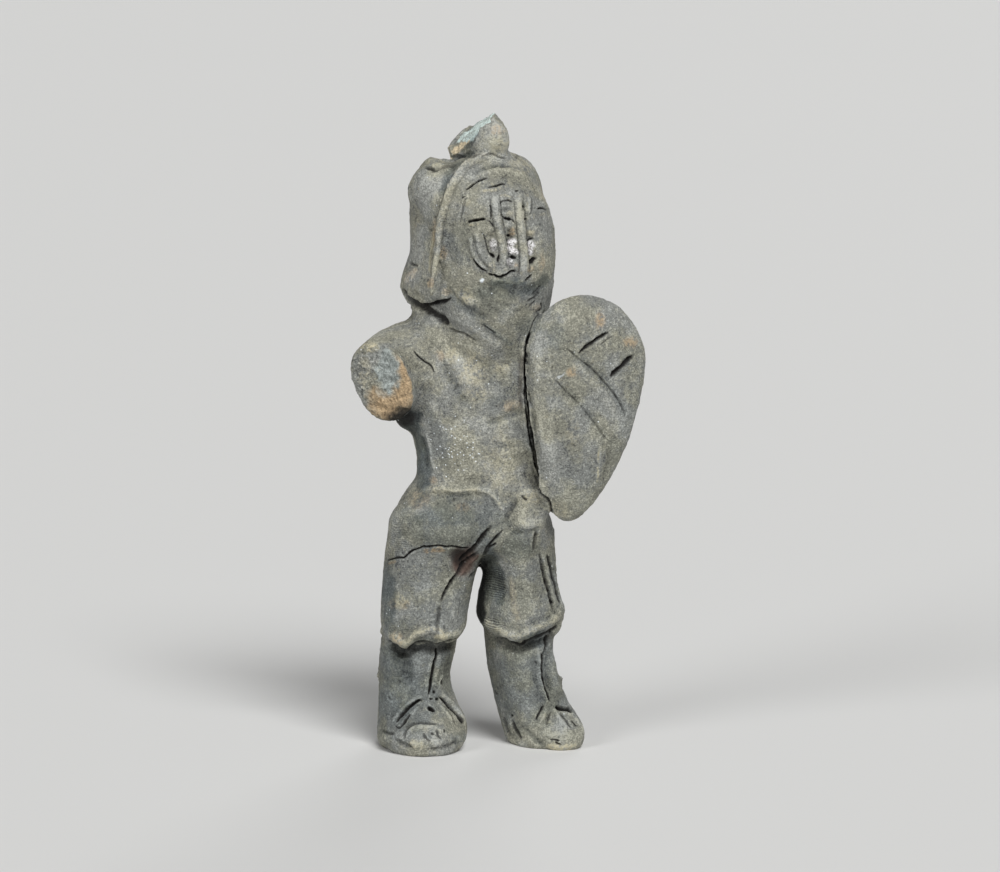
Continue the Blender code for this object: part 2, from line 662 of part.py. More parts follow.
def clay_material():
    material = bpy.data.materials.new("fired_grey_clay")
    material.use_nodes = True
    shader = material.node_tree.nodes["Principled BSDF"]
    shader.inputs["Base Color"].default_value = CLAY_COLOUR
    shader.inputs["Roughness"].default_value = CLAY_ROUGHNESS
    shader.inputs["Metallic"].default_value = 0.0
    return material


def main():
    clear_scene()
    figure = new_collection("gladiator figurine")
    masses = new_collection("clay masses")
    cutters = new_collection("breaks")
    model_legs(masses)
    model_torso(masses)
    model_arms(masses)
    model_helmet(masses)
    model_shield(masses)

    bm = blend(masses)
    carver = Carver(bm)
    carve_helmet(carver)
    carve_body(carver)
    carve_legs(carver)
    carve_shield(carver)
    for v, point in zip(bm.verts, carver.points):
        v.co = point

    body = bpy.data.objects.new("gladiator_figurine", bpy.data.meshes.new("carved_clay"))
    figure.objects.link(body)
    bm.to_mesh(body.data)
    bm.free()
    smooth = body.modifiers.new("smooth", "SMOOTH")
    smooth.factor = FINISH_STRENGTH
    smooth.iterations = FINISH_PASSES
    facets = body.modifiers.new("facets", "DECIMATE")
    facets.ratio = FACETS / len(body.data.polygons)
    break_and_level(cutters, body)
    body.data = finished_mesh(body)
    body.modifiers.clear()
    body.data.materials.append(clay_material())


main()
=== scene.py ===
"""The looks of a clay gladiator figurine, laid over its plain fired-clay solid.

The clay is a skin grown from the solid: its facets are smoothed away, its marks are cut again
finer, and its breaks, cracks, grain and colours are worked in. Marks are given as places seen
from a side, in millimetres on an upright sheet through the figure: across, then above the floor.
"""

import math
import random
from typing import NamedTuple

import bmesh
import bpy
import numpy as np
from bpy.props import FloatProperty, FloatVectorProperty, IntProperty, PointerProperty
from bpy.types import Operator, Panel, PropertyGroup
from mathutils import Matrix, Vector, noise
from mathutils.bvhtree import BVHTree


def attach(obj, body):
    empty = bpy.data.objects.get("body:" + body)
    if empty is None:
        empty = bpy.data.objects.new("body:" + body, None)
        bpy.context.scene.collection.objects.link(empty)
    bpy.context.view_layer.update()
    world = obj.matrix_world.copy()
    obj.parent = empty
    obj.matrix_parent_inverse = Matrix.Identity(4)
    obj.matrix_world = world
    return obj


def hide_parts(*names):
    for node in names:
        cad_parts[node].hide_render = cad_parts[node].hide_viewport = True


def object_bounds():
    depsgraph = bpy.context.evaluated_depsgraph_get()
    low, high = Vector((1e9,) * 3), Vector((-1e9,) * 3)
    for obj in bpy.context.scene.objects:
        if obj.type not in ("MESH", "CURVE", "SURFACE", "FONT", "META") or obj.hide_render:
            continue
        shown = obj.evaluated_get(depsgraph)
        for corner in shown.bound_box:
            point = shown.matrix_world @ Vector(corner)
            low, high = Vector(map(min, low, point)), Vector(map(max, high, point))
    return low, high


bl_info = {
    "name": "Clay Gladiator Figurine",
    "version": (1, 0, 0),
    "blender": (4, 5, 0),
    "location": "3D Viewport > Sidebar > Clay",
    "description": "Works, fires and stages a small hand-modelled clay figure",
    "category": "Object",
}

MM = 0.001
NODE = "gladiator_figurine"
FIGURE = "clay_figure"

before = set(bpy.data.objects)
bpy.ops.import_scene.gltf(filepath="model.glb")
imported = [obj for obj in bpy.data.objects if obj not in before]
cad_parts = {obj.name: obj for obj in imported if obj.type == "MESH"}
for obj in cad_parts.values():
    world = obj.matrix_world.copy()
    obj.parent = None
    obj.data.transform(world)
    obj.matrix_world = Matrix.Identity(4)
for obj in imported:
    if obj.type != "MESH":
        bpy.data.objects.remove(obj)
SOLID_BOX = [list(corner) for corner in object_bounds()]


class ClaySettings(PropertyGroup):
    """How the clay is worked."""

    grain: FloatProperty(
        name="Skin spacing", description="Spacing of the skin's points before it is refined",
        default=0.00072, min=0.0003, max=0.002, unit="LENGTH", precision=5,
    )
    smoothing: IntProperty(
        name="Smoothing", description="Passes that take the solid's facets off",
        default=9, min=0, max=60,
    )
    unevenness: FloatProperty(
        name="Unevenness", description="Height of the slow dents that fingers leave",
        default=0.00022, min=0.0, max=0.001, unit="LENGTH", precision=5,
    )
    roughness_height: FloatProperty(
        name="Roughness height", description="Height of the fine lumps on the skin",
        default=0.00007, min=0.0, max=0.0005, unit="LENGTH", precision=5,
    )


def tint(name, description, default, most=1.0):
    """A colour that can be set in the sidebar, as shares of red, green and blue."""
    return FloatVectorProperty(
        name=name, description=description, default=default,
        size=3, min=0.0, max=most, subtype="COLOR",
    )


class ColourSettings(PropertyGroup):
    """The colours of the fired clay."""

    # The grey runs from dark to pale with the grain; painted shade in closed-in places and pits pulls
    # it towards the dark, and painted highlight in the worn patches towards the pale.
    dark: tint("Smoked clay", "Bluish grey where the fire was smoky", (0.084, 0.088, 0.086))
    middle: tint("Grey clay", "The body's grey", (0.236, 0.242, 0.224))
    pale: tint("Worn clay", "Dusty grey on worn skin", (0.445, 0.452, 0.420))
    warmth: tint(
        "Warmth", "What the warmer clouds in the grey are tinted by", (1.05, 1.01, 0.88), 2.0
    )
    buff: tint("Buff", "Buff on rubbed ridges", (0.440, 0.400, 0.275))
    orange: tint("Orange", "Oxidised clay in patches and round the breaks", (0.430, 0.315, 0.190))
    peach: tint(
        "Peach", "Pale oxidised clay at the edge of the crest's break", (0.660, 0.560, 0.390)
    )
    core: tint("Core", "Blue-grey core that the breaks show", (0.345, 0.378, 0.362))
    pale_core: tint(
        "Pale core", "Pale greenish blue core at the crest's break", (0.60, 0.70, 0.665)
    )
    fleck: tint("Flecks", "Bluish white of the mica", (0.800, 0.850, 0.880))
    chalk: tint("Deposit", "Pale pinkish deposit in the grille", (0.860, 0.800, 0.815))
    # Near-black for dirt in the cuts, and also painted shade in cuts, pockets and under overhangs,
    # and painted shadow under the sword arm.
    dirt: tint("Dirt", "Soot and soil in the cuts", (0.012, 0.011, 0.010))
    rust: tint("Red-brown clay", "Red-brown clay in the deepest gouge", (0.120, 0.065, 0.048))


class StageSettings(PropertyGroup):
    """The floor, the lights and the camera."""

    field: FloatProperty(
        name="Field width", description="Width of the picture at the figure",
        default=0.2, min=0.05, max=2.0, unit="LENGTH",
    )
    floor: tint("Floor", "Colour of the floor and of the air round it", (0.70, 0.70, 0.69))
    key: FloatProperty(
        name="Key light", description="Strength of the soft light above the camera's right",
        default=2.6, min=0.0, max=50.0,
    )
    fill: FloatProperty(
        name="Fill light", description="Strength of the soft light on the left",
        default=1.1, min=0.0, max=50.0,
    )
    rear: FloatProperty(
        name="Rear light", description="Strength of the soft light behind the figure",
        default=0.7, min=0.0, max=50.0,
    )
    air: FloatProperty(
        name="Air", description="Brightness of the light from all round",
        default=0.14, min=0.0, max=5.0,
    )


class Stroke(NamedTuple):
    """A mark drawn along a line of places, whose width, depth and lip are in millimetres.

    The taper is the share of its length over which each end fades. The sight is the side that it
    is seen from. A straight mark moves the clay towards the viewer, and not along its own slope.
    """

    line: tuple
    width: float
    depth: float
    lip: float = 0.0
    taper: float = 0.25
    tones: dict = {}
    sight: str = "front"
    straight: bool = False


class Spot(NamedTuple):
    """A lump or hollow at one place: its half sizes and depth in millimetres, its turn in degrees."""

    place: tuple
    reach: tuple
    depth: float
    turn: float = 0.0
    tones: dict = {}
    sight: str = "front"


# How strongly the commonest marks colour the clay; the dark of cuts, cells and pockets is dirt and
# painted shade.
DEEP = {"dirt": 1.0}
FAINT = {"dirt": 0.55}
SUNK = {"dirt": 0.12}
POCKET = {"dirt": 1.6}
RUBBED = {"buff": 0.8}
WORN = {"worn": 0.8}
WORN_MOST = {"worn": 0.9}
WORN_LESS = {"worn": 0.6}
WORN_LEAST = {"worn": 0.4}


def pairs(numbers):
    """Places from a row of numbers: across, up, across, up and so on."""
    return tuple(zip(numbers[::2], numbers[1::2]))


def marks(rows, sight="front", straight=False):
    """Marks from rows of sizes, tones and places. A row with a single place is a spot.

    A stroke's sizes are its width, depth, lip and taper, and the last two may be left out. A
    spot's are its two half sizes, depth and turn, and the turn may be left out.
    """
    for sizes, tones, *numbers in rows:
        places = pairs(numbers)
        if len(places) > 1:
            yield Stroke(places, *sizes, tones=tones, sight=sight, straight=straight)
        else:
            yield Spot(places[0], sizes[:2], *sizes[2:], tones=tones, sight=sight)


def plainer_marks(sight, dirt, cuts, ridges, spots):
    """The plainer marks of a hidden side: cuts darkened as dirt and painted shade, worn ridges, then
    spots with their tones.
    """
    for width, depth, *numbers in cuts:
        yield Stroke(pairs(numbers), width, depth, 0.05, 0.2, {"dirt": dirt}, sight)
    for width, height, *numbers in ridges:
        yield Stroke(pairs(numbers), width, -height, 0.05, 0.15, {"worn": 0.5}, sight)
    for across, up, half_width, half_height, depth, tones in spots:
        yield Spot((across, up), (half_width, half_height), depth, 0.0, tones, sight)


def unit(vectors):
    """The vectors at a length of 1."""
    return vectors / np.maximum(np.linalg.norm(vectors, axis=-1, keepdims=True), 1e-9)


def moved_aside(line, gap):
    """The line moved sideways by the gap in millimetres, to the right of its run when positive."""
    places = np.array(line).reshape(-1, 2)
    run = unit(np.gradient(places, axis=0))
    return (places + gap * np.column_stack([run[:, 1], -run[:, 0]])).ravel()


# A ridge's grooves: how wide they are, and how far beyond its edges they run, in millimetres.
GROOVE_WIDTH = 0.38
GROOVE_GAP = 0.12


def ridge_marks(line, width, height, tones, grooves=(1, -1), depth=0.3, dirt=0.6):
    """A raised ridge with grooves along its sides, of which 1 is the right and -1 the left; the
    grooves are darkened as dirt and painted shade.
    """
    for side in grooves:
        aside = moved_aside(line, side * (width / 2 + GROOVE_GAP))
        yield Stroke(pairs(aside), GROOVE_WIDTH, depth, 0.0, 0.15, {"dirt": dirt})
    yield Stroke(pairs(line), width, -height, 0.0, 0.12, tones)


def helmet_marks():
    """The brim's bead, the cap's knob, the crest, and the visor's edges, cracks and slit."""
    bead = (-2, 119.1, -6, 117.5, -8, 115.3, -9.8, 112.3, -11, 108.7, -12, 105.7, -12.3, 102.7,
        -12.6, 99.7, -13.1, 96.7, -13.6, 93.3)
    upper_break = (6.5, 126.2, 2, 125.4, -1.5, 124.6, -4, 123.2, -6.2, 121.6)
    yield from marks((
        ((2.1, -0.5, 0, 0.08), {"worn": 0.6, "buff": 0.25}, *bead),
        ((0.8, -0.1, 0, 0.08), WORN_LESS, *moved_aside(bead, 0.2)),
        # Painted shade in the groove along the bead's inner side.
        ((2, 0.4), {"smoke": 0.7}, -4.4, 119.7, -7.2, 118.3, -9.2, 116.5, -10.4, 114.5, -11.2, 112.1,
            -12, 109.7),
        ((0.5, 0.9, -0.14, 10), WORN, -10.6, 109.9),
        ((0.5, 0.9, -0.14, 10), WORN, -11.8, 105.3),
        ((0.5, 0.9, -0.14, 10), WORN, -12.3, 101.1),
        ((0.5, 0.9, -0.14, 10), WORN, -13.2, 96.1),
        ((0.45, 0.12, 0, 0.1), {"dirt": 0.35}, -2.4, 119.5, -6.8, 117.3, -9, 115.1, -10.6, 112.3,
            -11.8, 108.5, -12.8, 104.7, -13.1, 101.7, -13.6, 98.5, -13.9, 94.9),
        ((0.5, 0.12, 0, 0.1), {"dirt": 0.2}, -1.6, 118.1, -5.4, 116.7, -7.3, 114.5, -8.9, 111.9,
            -10.1, 108.5, -11.1, 105.3, -11.4, 102.5, -11.8, 99.3, -12.3, 96.1, -12.8, 93.3),
        ((1, -0.08), RUBBED, -13.2, 104.1, -13.4, 101.1, -13.8, 98.1, -14.2, 94.7),
        ((0.36, 0.2), FAINT, -12.6, 102.5, -12.9, 99.7, -13.4, 96.9, -13.8, 93.7),
        # Knob at the cap's rear, and the fold under it.
        ((2.1, 1.2, -0.5, -8), {"buff": 0.5, "worn": 0.7}, -12.8, 117),
        ((1.3, 0.45, 0.5, -14), {"dirt": 0.8}, -13.9, 116),
        ((0.8, 0.35), FAINT, -14, 115.1, -12, 116, -10, 116.7, -8.4, 117.1),
        ((0.9, 0.12), {}, -15.2, 115.3, -16.4, 114.1, -17.2, 112.5),
        # Crest: its base on the cap, and grazes on its front.
        ((0.9, 0.28), FAINT, -10.4, 118.3, -8.4, 118.5, -5.6, 118.1, -3.2, 118.9),
        ((1.7, 0, 0, 0.06), {"pale_core": 3}, -2.4, 126.3, -3.6, 125.3, -4.8, 124.4, -6, 123.3),
        ((2.8, 0, 0, 0.1), {"pale_core": 3}, -4.8, 124.3, -6, 123.1, -7, 122.3, -8, 121.7),
    ))
    yield from marks((
        ((5, 0, 0, 0.02), {"pale_core": 2}, *upper_break),
        ((4, 2.4, 0), {"peach": 2}, -4, 118.6),
    ), sight="right")
    yield from marks((
        ((2.4, 0, 0, 0.1), {"peach": 1.8}, -7.2, 121.5, -8.2, 120.7, -9, 119.9, -9.7, 119),
        ((0.7, 0, 0, 0.1), {"peach": 1.2}, -6, 121.8, -7.2, 120.7, -8.4, 119.7),
        ((0.6, -0.12, 0, 0.1), WORN, -9.5, 118.5, -8, 119.6, -7, 120.5, -5.7, 122.2, -4.3, 123.9,
            -3, 125.5, -2, 126.5),
        # Painted shadow beside the crest's ridge.
        ((1.5, 0.1, 0, 0.2), {"smoke": 0.6}, -6.8, 119.7, -5.8, 121, -5, 122.3, -4.2, 123.5),
        ((2, 1.4, -0.05), {"orange": 0.45}, -0.4, 123.7),
        ((0.6, 0.2), FAINT, -4, 118.1, -2, 118.9, 0, 118.3, 1.6, 117.9),
        # The visor's raised edge inside the brim, and its brow's arch.
        ((1.6, 0.12), {"worn": 0.3}, -7.8, 109.7, -8.8, 107.1, -9.7, 103.9, -10.2, 100.5,
            -10.4, 97.3),
        ((0.9, -0.28), WORN_MOST, -7, 111.3, -7.4, 108.9, -8.3, 106.1, -8.9, 103.3),
        ((1.6, -0.3), WORN_LESS, -5.2, 114.1, -2.6, 115.3, 0.6, 115.7, 3.6, 115.1, 5.8, 113.7),
        ((1.2, 0.25), {"smoke": 0.3}, -6, 114.5, -3.2, 116.1, 0.6, 116.7, 4, 116.1, 6.6, 114.5),
        ((1.8, -0.25), {"worn": 0.3}, 6.8, 113.3, 8.2, 110.5, 9, 107.3, 9.2, 103.7),
        # Cracks on the visor's brow.
        ((0.42, 0.5, 0.12), DEEP, -7.3, 111.4, -6.2, 112.1, -5.2, 112.9, -4, 113.6, -2.2, 114.3),
        ((0.4, 0.25), DEEP, -7.6, 110, -6.9, 110.5),
        ((0.42, 0.5, 0.1), DEEP, -2.7, 112.2, -1.5, 112.4, -0.3, 112.7, 0.7, 113, 1.2, 112.6),
        ((0.8, -0.3), RUBBED, -3.8, 111.5, -2.3, 111.6, -1, 111.7, 0.3, 112.1, 1.6, 112.5),
        ((0.5, 0.12), FAINT, -6.6, 110.5, -7.2, 108.9, -7.6, 106.9, -8, 104.9),
        # The slit and its lower lip.
        ((0.62, 0.85, 0.1, 0.15), DEEP, -6.6, 105.2, -5.7, 105.5, -4.5, 105.7, -3.3, 105.9,
            -2.7, 106),
        ((0.5, -0.2), {"buff": 1}, -6.5, 104.7, -5.2, 104.7, -4, 105),
        ((0.45, 0.4), DEEP, -2.3, 105.7, -1.7, 105, -1.2, 104.3),
        ((0.4, 0.38), DEEP, -2.5, 108.8, -1.9, 108.5, -1.8, 107.9, -1.8, 106.7, -1.8, 105.7),
        # Short cuts right of the grille.
        ((0.45, 0.45, 0.1), DEEP, 7.4, 107.9, 8.2, 108.1, 8.7, 107.8, 9.2, 107.6),
        ((0.7, -0.15), {"buff": 0.5}, 7.6, 106.7, 9, 107),
        ((0.35, 0.25), DEEP, 3, 111.5, 3.7, 111.6),
    ))


def grille_marks():
    """The grille: its sunk cells with lumps and pockets of clay, its bars and its torn lower edge."""
    yield from marks((
        # The visor's window lies a little lower than the brow, and its cells lower still.
        ((6.6, 8.6, 0.35, 6), {"worn": 0.15}, 2, 102.1),
        ((1.3, 2.2, 0.6, 4), SUNK, 1.4, 107.9),
        ((1.2, 4.6, 0.85, 5), SUNK, 2.4, 101.5),
        ((1.1, 1.8, 0.6), SUNK, 2, 96.9),
        ((1.4, 3.6, 0.6, 12), SUNK, -1.6, 100.5),
        ((1.1, 4.4, 0.7, 6), SUNK, 6.3, 100.5),
        ((0.8, 2.2, 0.35, 6), SUNK, 4.8, 108.5),
        ((1.3, 0.8, -0.6, 10), {"worn": 0.3}, 1.2, 108.4),
        ((0.95, 0.85, -0.7), {"buff": 0.5}, 2, 107.1),
        ((1.1, 0.85, -0.6, -20), {"worn": 0.3}, 2, 104.4),
        ((0.8, 1, -0.5), {"orange": 0.7}, 2.6, 103.3),
        ((1.1, 0.9, -0.6), {"chalk": 1.2}, 2.6, 101.2),
        ((0.8, 0.8, -0.55), {"chalk": 1.2}, 2.2, 100.2),
        ((1.1, 0.9, -0.65), {"chalk": 1.2}, 2.8, 99.4),
        ((0.9, 1.1, -0.4), {"chalk": 0.7}, 2.1, 97.3),
        ((0.6, 1.1, -0.4), {"orange": 0.5}, 3.3, 96.3),
        ((1, 0.6, -0.35), {"buff": 0.4}, 1.6, 95.9),
        ((1.1, 1.2, -0.5, 20), WORN_LEAST, -2.1, 103.6),
        ((0.9, 1.5, -0.65, 10), {"chalk": 0.75}, -1.3, 100.8),
        ((0.7, 0.8, -0.4), {"worn": 0.5}, -2.1, 101.9),
        ((0.95, 1.3, -0.4), {"buff": 0.5}, -1.6, 96.3),
        ((1, 1, -0.55), RUBBED, 6.2, 103.1),
        ((0.8, 0.9, -0.55), {"chalk": 1.1}, 6.4, 100.8),
        ((0.8, 1, -0.55), {"chalk": 1.1}, 6.2, 99.5),
        ((1, 0.8, -0.4), {"orange": 0.6}, 6, 96),
        ((0.7, 0.6, -0.25), {}, 4.9, 107.3),
        # Pockets between the lumps, darkened as dirt and painted shade.
        ((0.9, 0.4, 0.7, -10), POCKET, 1.6, 106),
        ((0.5, 0.34, 0.6), POCKET, 1.9, 102.6),
        ((0.85, 0.42, 0.9, -8), POCKET, 2.7, 98.2),
        ((0.85, 0.36, 0.8, -42), POCKET, -1.5, 98.6),
        ((0.3, 0.9, 0.8, -8), POCKET, -0.3, 98),
        ((1, 0.52, 1, 38), POCKET, 6.4, 97.6),
        ((0.4, 0.34, 0.35), POCKET, 4.7, 108.5),
        ((0.4, 0.3, 0.35, 30), POCKET, 5.1, 105.9),
        ((0.42, 0.5), {"dirt": 0.8}, -0.2, 108.6, 0.2, 109.3, 0.8, 109.6, 1.7, 109.7, 2.7, 109.3),
        ((0.38, 0.4), {"dirt": 0.8}, -0.2, 107.9, 0.3, 106.9, 1, 106.2, 1.8, 106, 2.5, 105.8,
            3, 105.2, 3.2, 104.5),
        ((0.36, 0.4), {"dirt": 0.8}, -4.2, 103.7, -3.3, 102.7, -2.8, 101.1, -2.4, 99.5, -1.7, 98.6,
            -0.8, 97.9),
        ((0.42, 0.5), {"dirt": 0.8}, 5.7, 101.4, 6.3, 101.9, 7, 102),
    ))
    yield from ridge_marks(
        (-1.2, 111.1, -0.9, 109.3, -0.6, 107.1, 0, 103.7, 0.7, 100.7, 0.9, 98.3, 0.8, 95.9),
        1.75, 0.42, {"worn": 0.7}, depth=0.22, dirt=0.5,
    )
    yield from ridge_marks(
        (3.6, 111.1, 3.9, 108.7, 4.2, 106.3, 4.5, 103.7, 4.8, 100.7, 4.9, 98.1, 4.8, 96.5,
            4.7, 94.1),
        1.7, 0.42, {"worn": 0.7}, depth=0.22, dirt=0.5,
    )
    yield from marks((
        ((0.9, -0.25), WORN_LEAST, 5.7, 111, 5.9, 109.5, 5.9, 108, 5.6, 106.5),
        ((0.4, 0.2), FAINT, 6.4, 110.3, 6.4, 108.1, 5.9, 106.3),
        ((0.55, -0.3), {"buff": 0.6}, -0.2, 110.4, 0.8, 110.7, 1.9, 110.3, 2.8, 110.3),
        # The torn lower edge, its pale lip, and the ridges that curve down to it from the left.
        ((0.55, 0.8, 0.1, 0.1), DEEP, -2.4, 95, -1.5, 94.7, -1, 94.7, -0.6, 94.4, 0.3, 94.3,
            0.6, 94.6, 1.2, 94.7, 1.7, 95.1, 2.5, 95.5, 3.2, 95.4),
        ((1, -0.4), {"worn": 0.8, "buff": 0.5}, -2.8, 94.2, -1, 93.8, 0.6, 93.6, 2.4, 93.4, 4, 93.4,
            5.2, 93.7),
        ((0.55, 0.7), DEEP, 4.9, 93.6, 5.7, 94.1, 6.4, 94.9),
        ((0.5, 0.4, 0.15), DEEP, -5.6, 98.4, -5, 97.4, -4.2, 96.4, -3.2, 95.7, -2.3, 95.3),
    ))
    yield from ridge_marks(
        (-4.8, 103.5, -4.3, 101.1, -3.6, 98.9, -2.4, 97.3, -1, 96.1),
        1.3, 0.28, {"worn": 0.4}, (1,), 0.15, 0.4,
    )
    yield from ridge_marks(
        (-5.9, 102.5, -5.7, 100.1, -5, 98.1, -3.8, 96.6, -2.6, 95.8),
        0.9, 0.22, {"worn": 0.6}, (1,), 0.1, 0.25,
    )
    yield from marks((
        ((1.8, 0.15), {}, -7.8, 105.3, -7.4, 103.3, -7.2, 100.9, -6.4, 98.5, -5.2, 96.3),
        ((0.55, 0.5, -0.1, 30), {"sky": 1}, -3.6, 93.6),
    ))


def neck_marks():
    """The neck guard's corner, the folds of the bib under it, and the hollow under the chin, darkened
    as painted shadow.
    """
    yield from marks((
        # The neck guard's turned-up corner, the fold under it with its shadow painted dark, and the
        # bib's folds.
        ((1.7, 0.9, 0.2, 0.12), {"dirt": 0.9}, -19.8, 92.3, -19, 90.7, -17.6, 89.5, -15.8, 88.5,
            -13.6, 87.3, -11.4, 85.9, -10, 84.5),
        ((1, 0.6, 0.1), DEEP, -17.6, 89.5, -15.2, 88.7, -12.8, 89.1, -10.8, 89.5, -9.4, 90.5),
        ((1.4, -0.35), WORN_LEAST, -19.2, 91.9, -17.2, 90.5, -14.4, 89.7, -12, 90.1),
        ((0.7, 0.35), FAINT, -18, 97.3, -17.4, 96.8, -16.4, 96.5),
        ((1.8, -0.3), {"orange": 0.35, "worn": 0.5}, -16.4, 96.1, -18, 94.5, -19, 92.5),
        ((0.6, 0.3, 0.06), FAINT, -10.5, 84.3, -8.8, 83.5, -7, 82.9, -4.5, 81.3),
        ((1.1, -0.3), {"smoke": 0.6}, -4, 85.5, -2.2, 84.1, 0, 82.5, 1.8, 81.1, 3.2, 80.3),
        ((0.36, 0.3, 0.15), FAINT, -3.6, 85, -2.2, 84, -0.6, 82.9),
        ((2.2, -0.3), {}, -6.4, 84.9, -4, 82.9, -1.2, 81.1, 1.6, 79.3),
        # The hollow under the visor's chin, darkened as painted shade, and the fold of the bib below
        # it.
        ((3.2, 0.45), {"smoke": 0.35}, -6, 93.1, -3.2, 92.1, 0, 91.5, 3.6, 91.4, 6.4, 91.7, 9, 93.1),
        ((2.6, 0.4), {"smoke": 0.5}, -10.8, 92.9, -9.6, 90.5, -7.6, 88.5, -4.8, 86.9, -1.6, 86.1),
        ((2.4, -0.3), {"worn": 0.5}, -8.8, 91.7, -6.4, 89.7, -3.6, 88.7),
        ((2, -0.25), {}, 1, 89.7, 3.2, 88.7, 5.4, 88.9),
        ((1.1, 1, -0.4), {"orange": 0.25}, 7.2, 88.3),
        ((3, 0.2), {"smoke": 0.8}, 4, 91.7, 6, 91.7, 8.2, 92.9, 9.8, 94.9),
        ((2.2, 0.25), {"smoke": 0.45}, -6, 92.1, -2.8, 89.7, 0, 88.9, 3, 88.7),
        ((1.8, -0.2), WORN, -10.2, 91.3, -9, 89.3, -7.4, 88.1),
        ((0.4, 0.5), DEEP, 8.1, 89.3, 8.3, 88.1, 7.6, 87.4),
        ((0.6, 0.3), FAINT, 6.4, 90.5, 7.6, 91.5, 8.6, 92.9),
        ((0.6, 0.3), FAINT, 5.2, 89.3, 6.8, 90.1, 8, 91.5),
        ((0.4, 0.3), FAINT, 5.8, 88.3, 6.6, 89.1, 7.2, 89.7),
    ))


def torso_marks():
    """The crack beside the shield, and the planes and folds of the chest, with painted shade and
    highlight.
    """
    yield from marks((
        # The clay pressed up to the shield's edge leaves only a thin ragged crack.
        ((3.4, -0.8), {}, 6.6, 85.3, 5, 82.3, 4.1, 79.3, 3.8, 74.7, 3.7, 68.7, 4.4, 63.7, 5.2, 59.3,
            6.5, 54.9, 8, 51.5),
        ((1.7, -1.7), {}, 7.2, 86.1, 5.9, 83.7, 5, 81.1, 4.6, 77.3, 4.7, 72.3, 4.9, 68.7, 5.5, 63.7,
            6.4, 59.1, 7.7, 54.5, 9, 51.1),
        ((1.3, -1.6), {}, 5.1, 72.1, 5.5, 68.7, 6, 65.7, 6.5, 62.5, 7.1, 59.3),
        ((2.2, -0.6), {}, 4.2, 75.3, 4.2, 69.7, 4.9, 64.1, 5.8, 59.1, 7, 54.7, 8.4, 50.9, 9.8, 48.1),
    ), straight=True)
    yield from marks((
        ((1.8, 3.2, -1.2, 20), {}, 8.8, 51.9),
        ((0.32, 0.3, 0.2, 0.06), {"dirt": 0.8}, 8.2, 87.5, 6.8, 85.7, 5.8, 83.1, 5.3, 80.7, 5, 77.3,
            4.9, 72.3, 5.1, 68.7, 5.7, 63.7, 6.6, 59.1, 7.9, 54.5, 9.2, 51.3, 10.2, 48.1,
            10.6, 46.1),
        ((0.5, 0.7, 0.1, 0.15), {"dirt": 1.1}, 6.5, 59.3, 7, 57.1, 7.6, 55.1, 8.2, 53.1, 8.9, 51.7),
        ((0.5, 0.4, 0.1, 0.1), {"dirt": 0.9}, 8.9, 51.7, 9.6, 50.5, 10.1, 48.9, 10.3, 47.1,
            10.4, 45.5),
        ((1, -0.4), {}, 7.8, 51.3, 8.8, 49.7, 9.6, 48.3, 10, 47.1),
        # Red-brown clay and painted shade along the crease beside the shield's edge.
        ((1.2, 0), {"rust": 0.3, "smoke": 0.4}, 4.4, 79.3, 4.2, 75.3, 4.1, 70.7, 4.4, 66.7),
        ((0.45, 0.35, 0.06), DEEP, -17.5, 79.9, -16.6, 78.7, -15.2, 77.5, -13.8, 76.5, -13, 74.7),
        # Painted shade on the torso's side under the sword arm's stump.
        ((2.4, 0.35), {"smoke": 0.8}, -19, 65.7, -18.2, 63.7, -16.8, 60.3, -16, 57.7),
        ((1.8, 0.4), {"smoke": 0.9}, -16.4, 63.3, -15.4, 60.9, -14.8, 58.1, -14.6, 55.3),
        ((0.7, -0.4), {"worn": 1.2}, -15, 63.7, -14.2, 61.5, -13.7, 59.1, -13.3, 56.5, -13, 54.5),
        ((0.5, 1.2, -0.3), WORN_LESS, -16.6, 56.7),
        # The breast's planes: painted shade in their valleys and painted highlight on their ridges.
        ((2.6, 0.4), {"smoke": 0.25}, -12.6, 78.5, -10.6, 75.3, -8, 70.5, -6, 67.3),
        ((3.4, -0.45), {"worn": 0.55}, -9.6, 79.7, -7.6, 76.1, -5.4, 71.9),
        ((3, 0.25), {"smoke": 0.2}, -3.2, 77.7, -2.6, 74.9, -2.4, 71.7),
        ((2.2, -0.3), WORN_LEAST, 1, 76.9, 1.6, 74.5, 1.4, 72.1),
        ((1.6, 0.35), {"smoke": 0.3}, 4.8, 67.7, 2.4, 66.5, -0.6, 65.5, -3.2, 65.1),
        ((2, -0.35), {"orange": 0.3}, 4.4, 69.3, 2.4, 68.5, 0, 67.7),
        # A broad lump on the belly, lightened as wear and painted highlight.
        ((6.5, 7, -0.35), {"worn": 0.25}, -6, 59.7),
        ((3.4, -0.25), {"worn": 0.3}, 0.8, 63.7, 1.2, 60.1, 1.6, 55.7),
        # Painted shade down the torso's side under the arm, with a touch of red-brown.
        ((3.2, 0), {"smoke": 0.45, "rust": 0.06}, -15.6, 69.7, -14, 66.1, -12.4, 62.5, -11.4, 58.7,
            -10.8, 54.9),
        # Painted shade beside the shield's lower edge.
        ((1.2, 0), {"smoke": 0.35}, 5.4, 63.3, 6, 59.7, 7, 56.1),
        ((0.5, 0.09), {}, -1.2, 62.5, -0.8, 59.3, -0.6, 56.1),
        ((0.5, 0.09), {}, 0, 64.1, 0.6, 60.3, 1, 55.7),
        ((0.5, 0.09), {}, 2.4, 63.7, 2.8, 60.1, 3.6, 56.1),
    ))


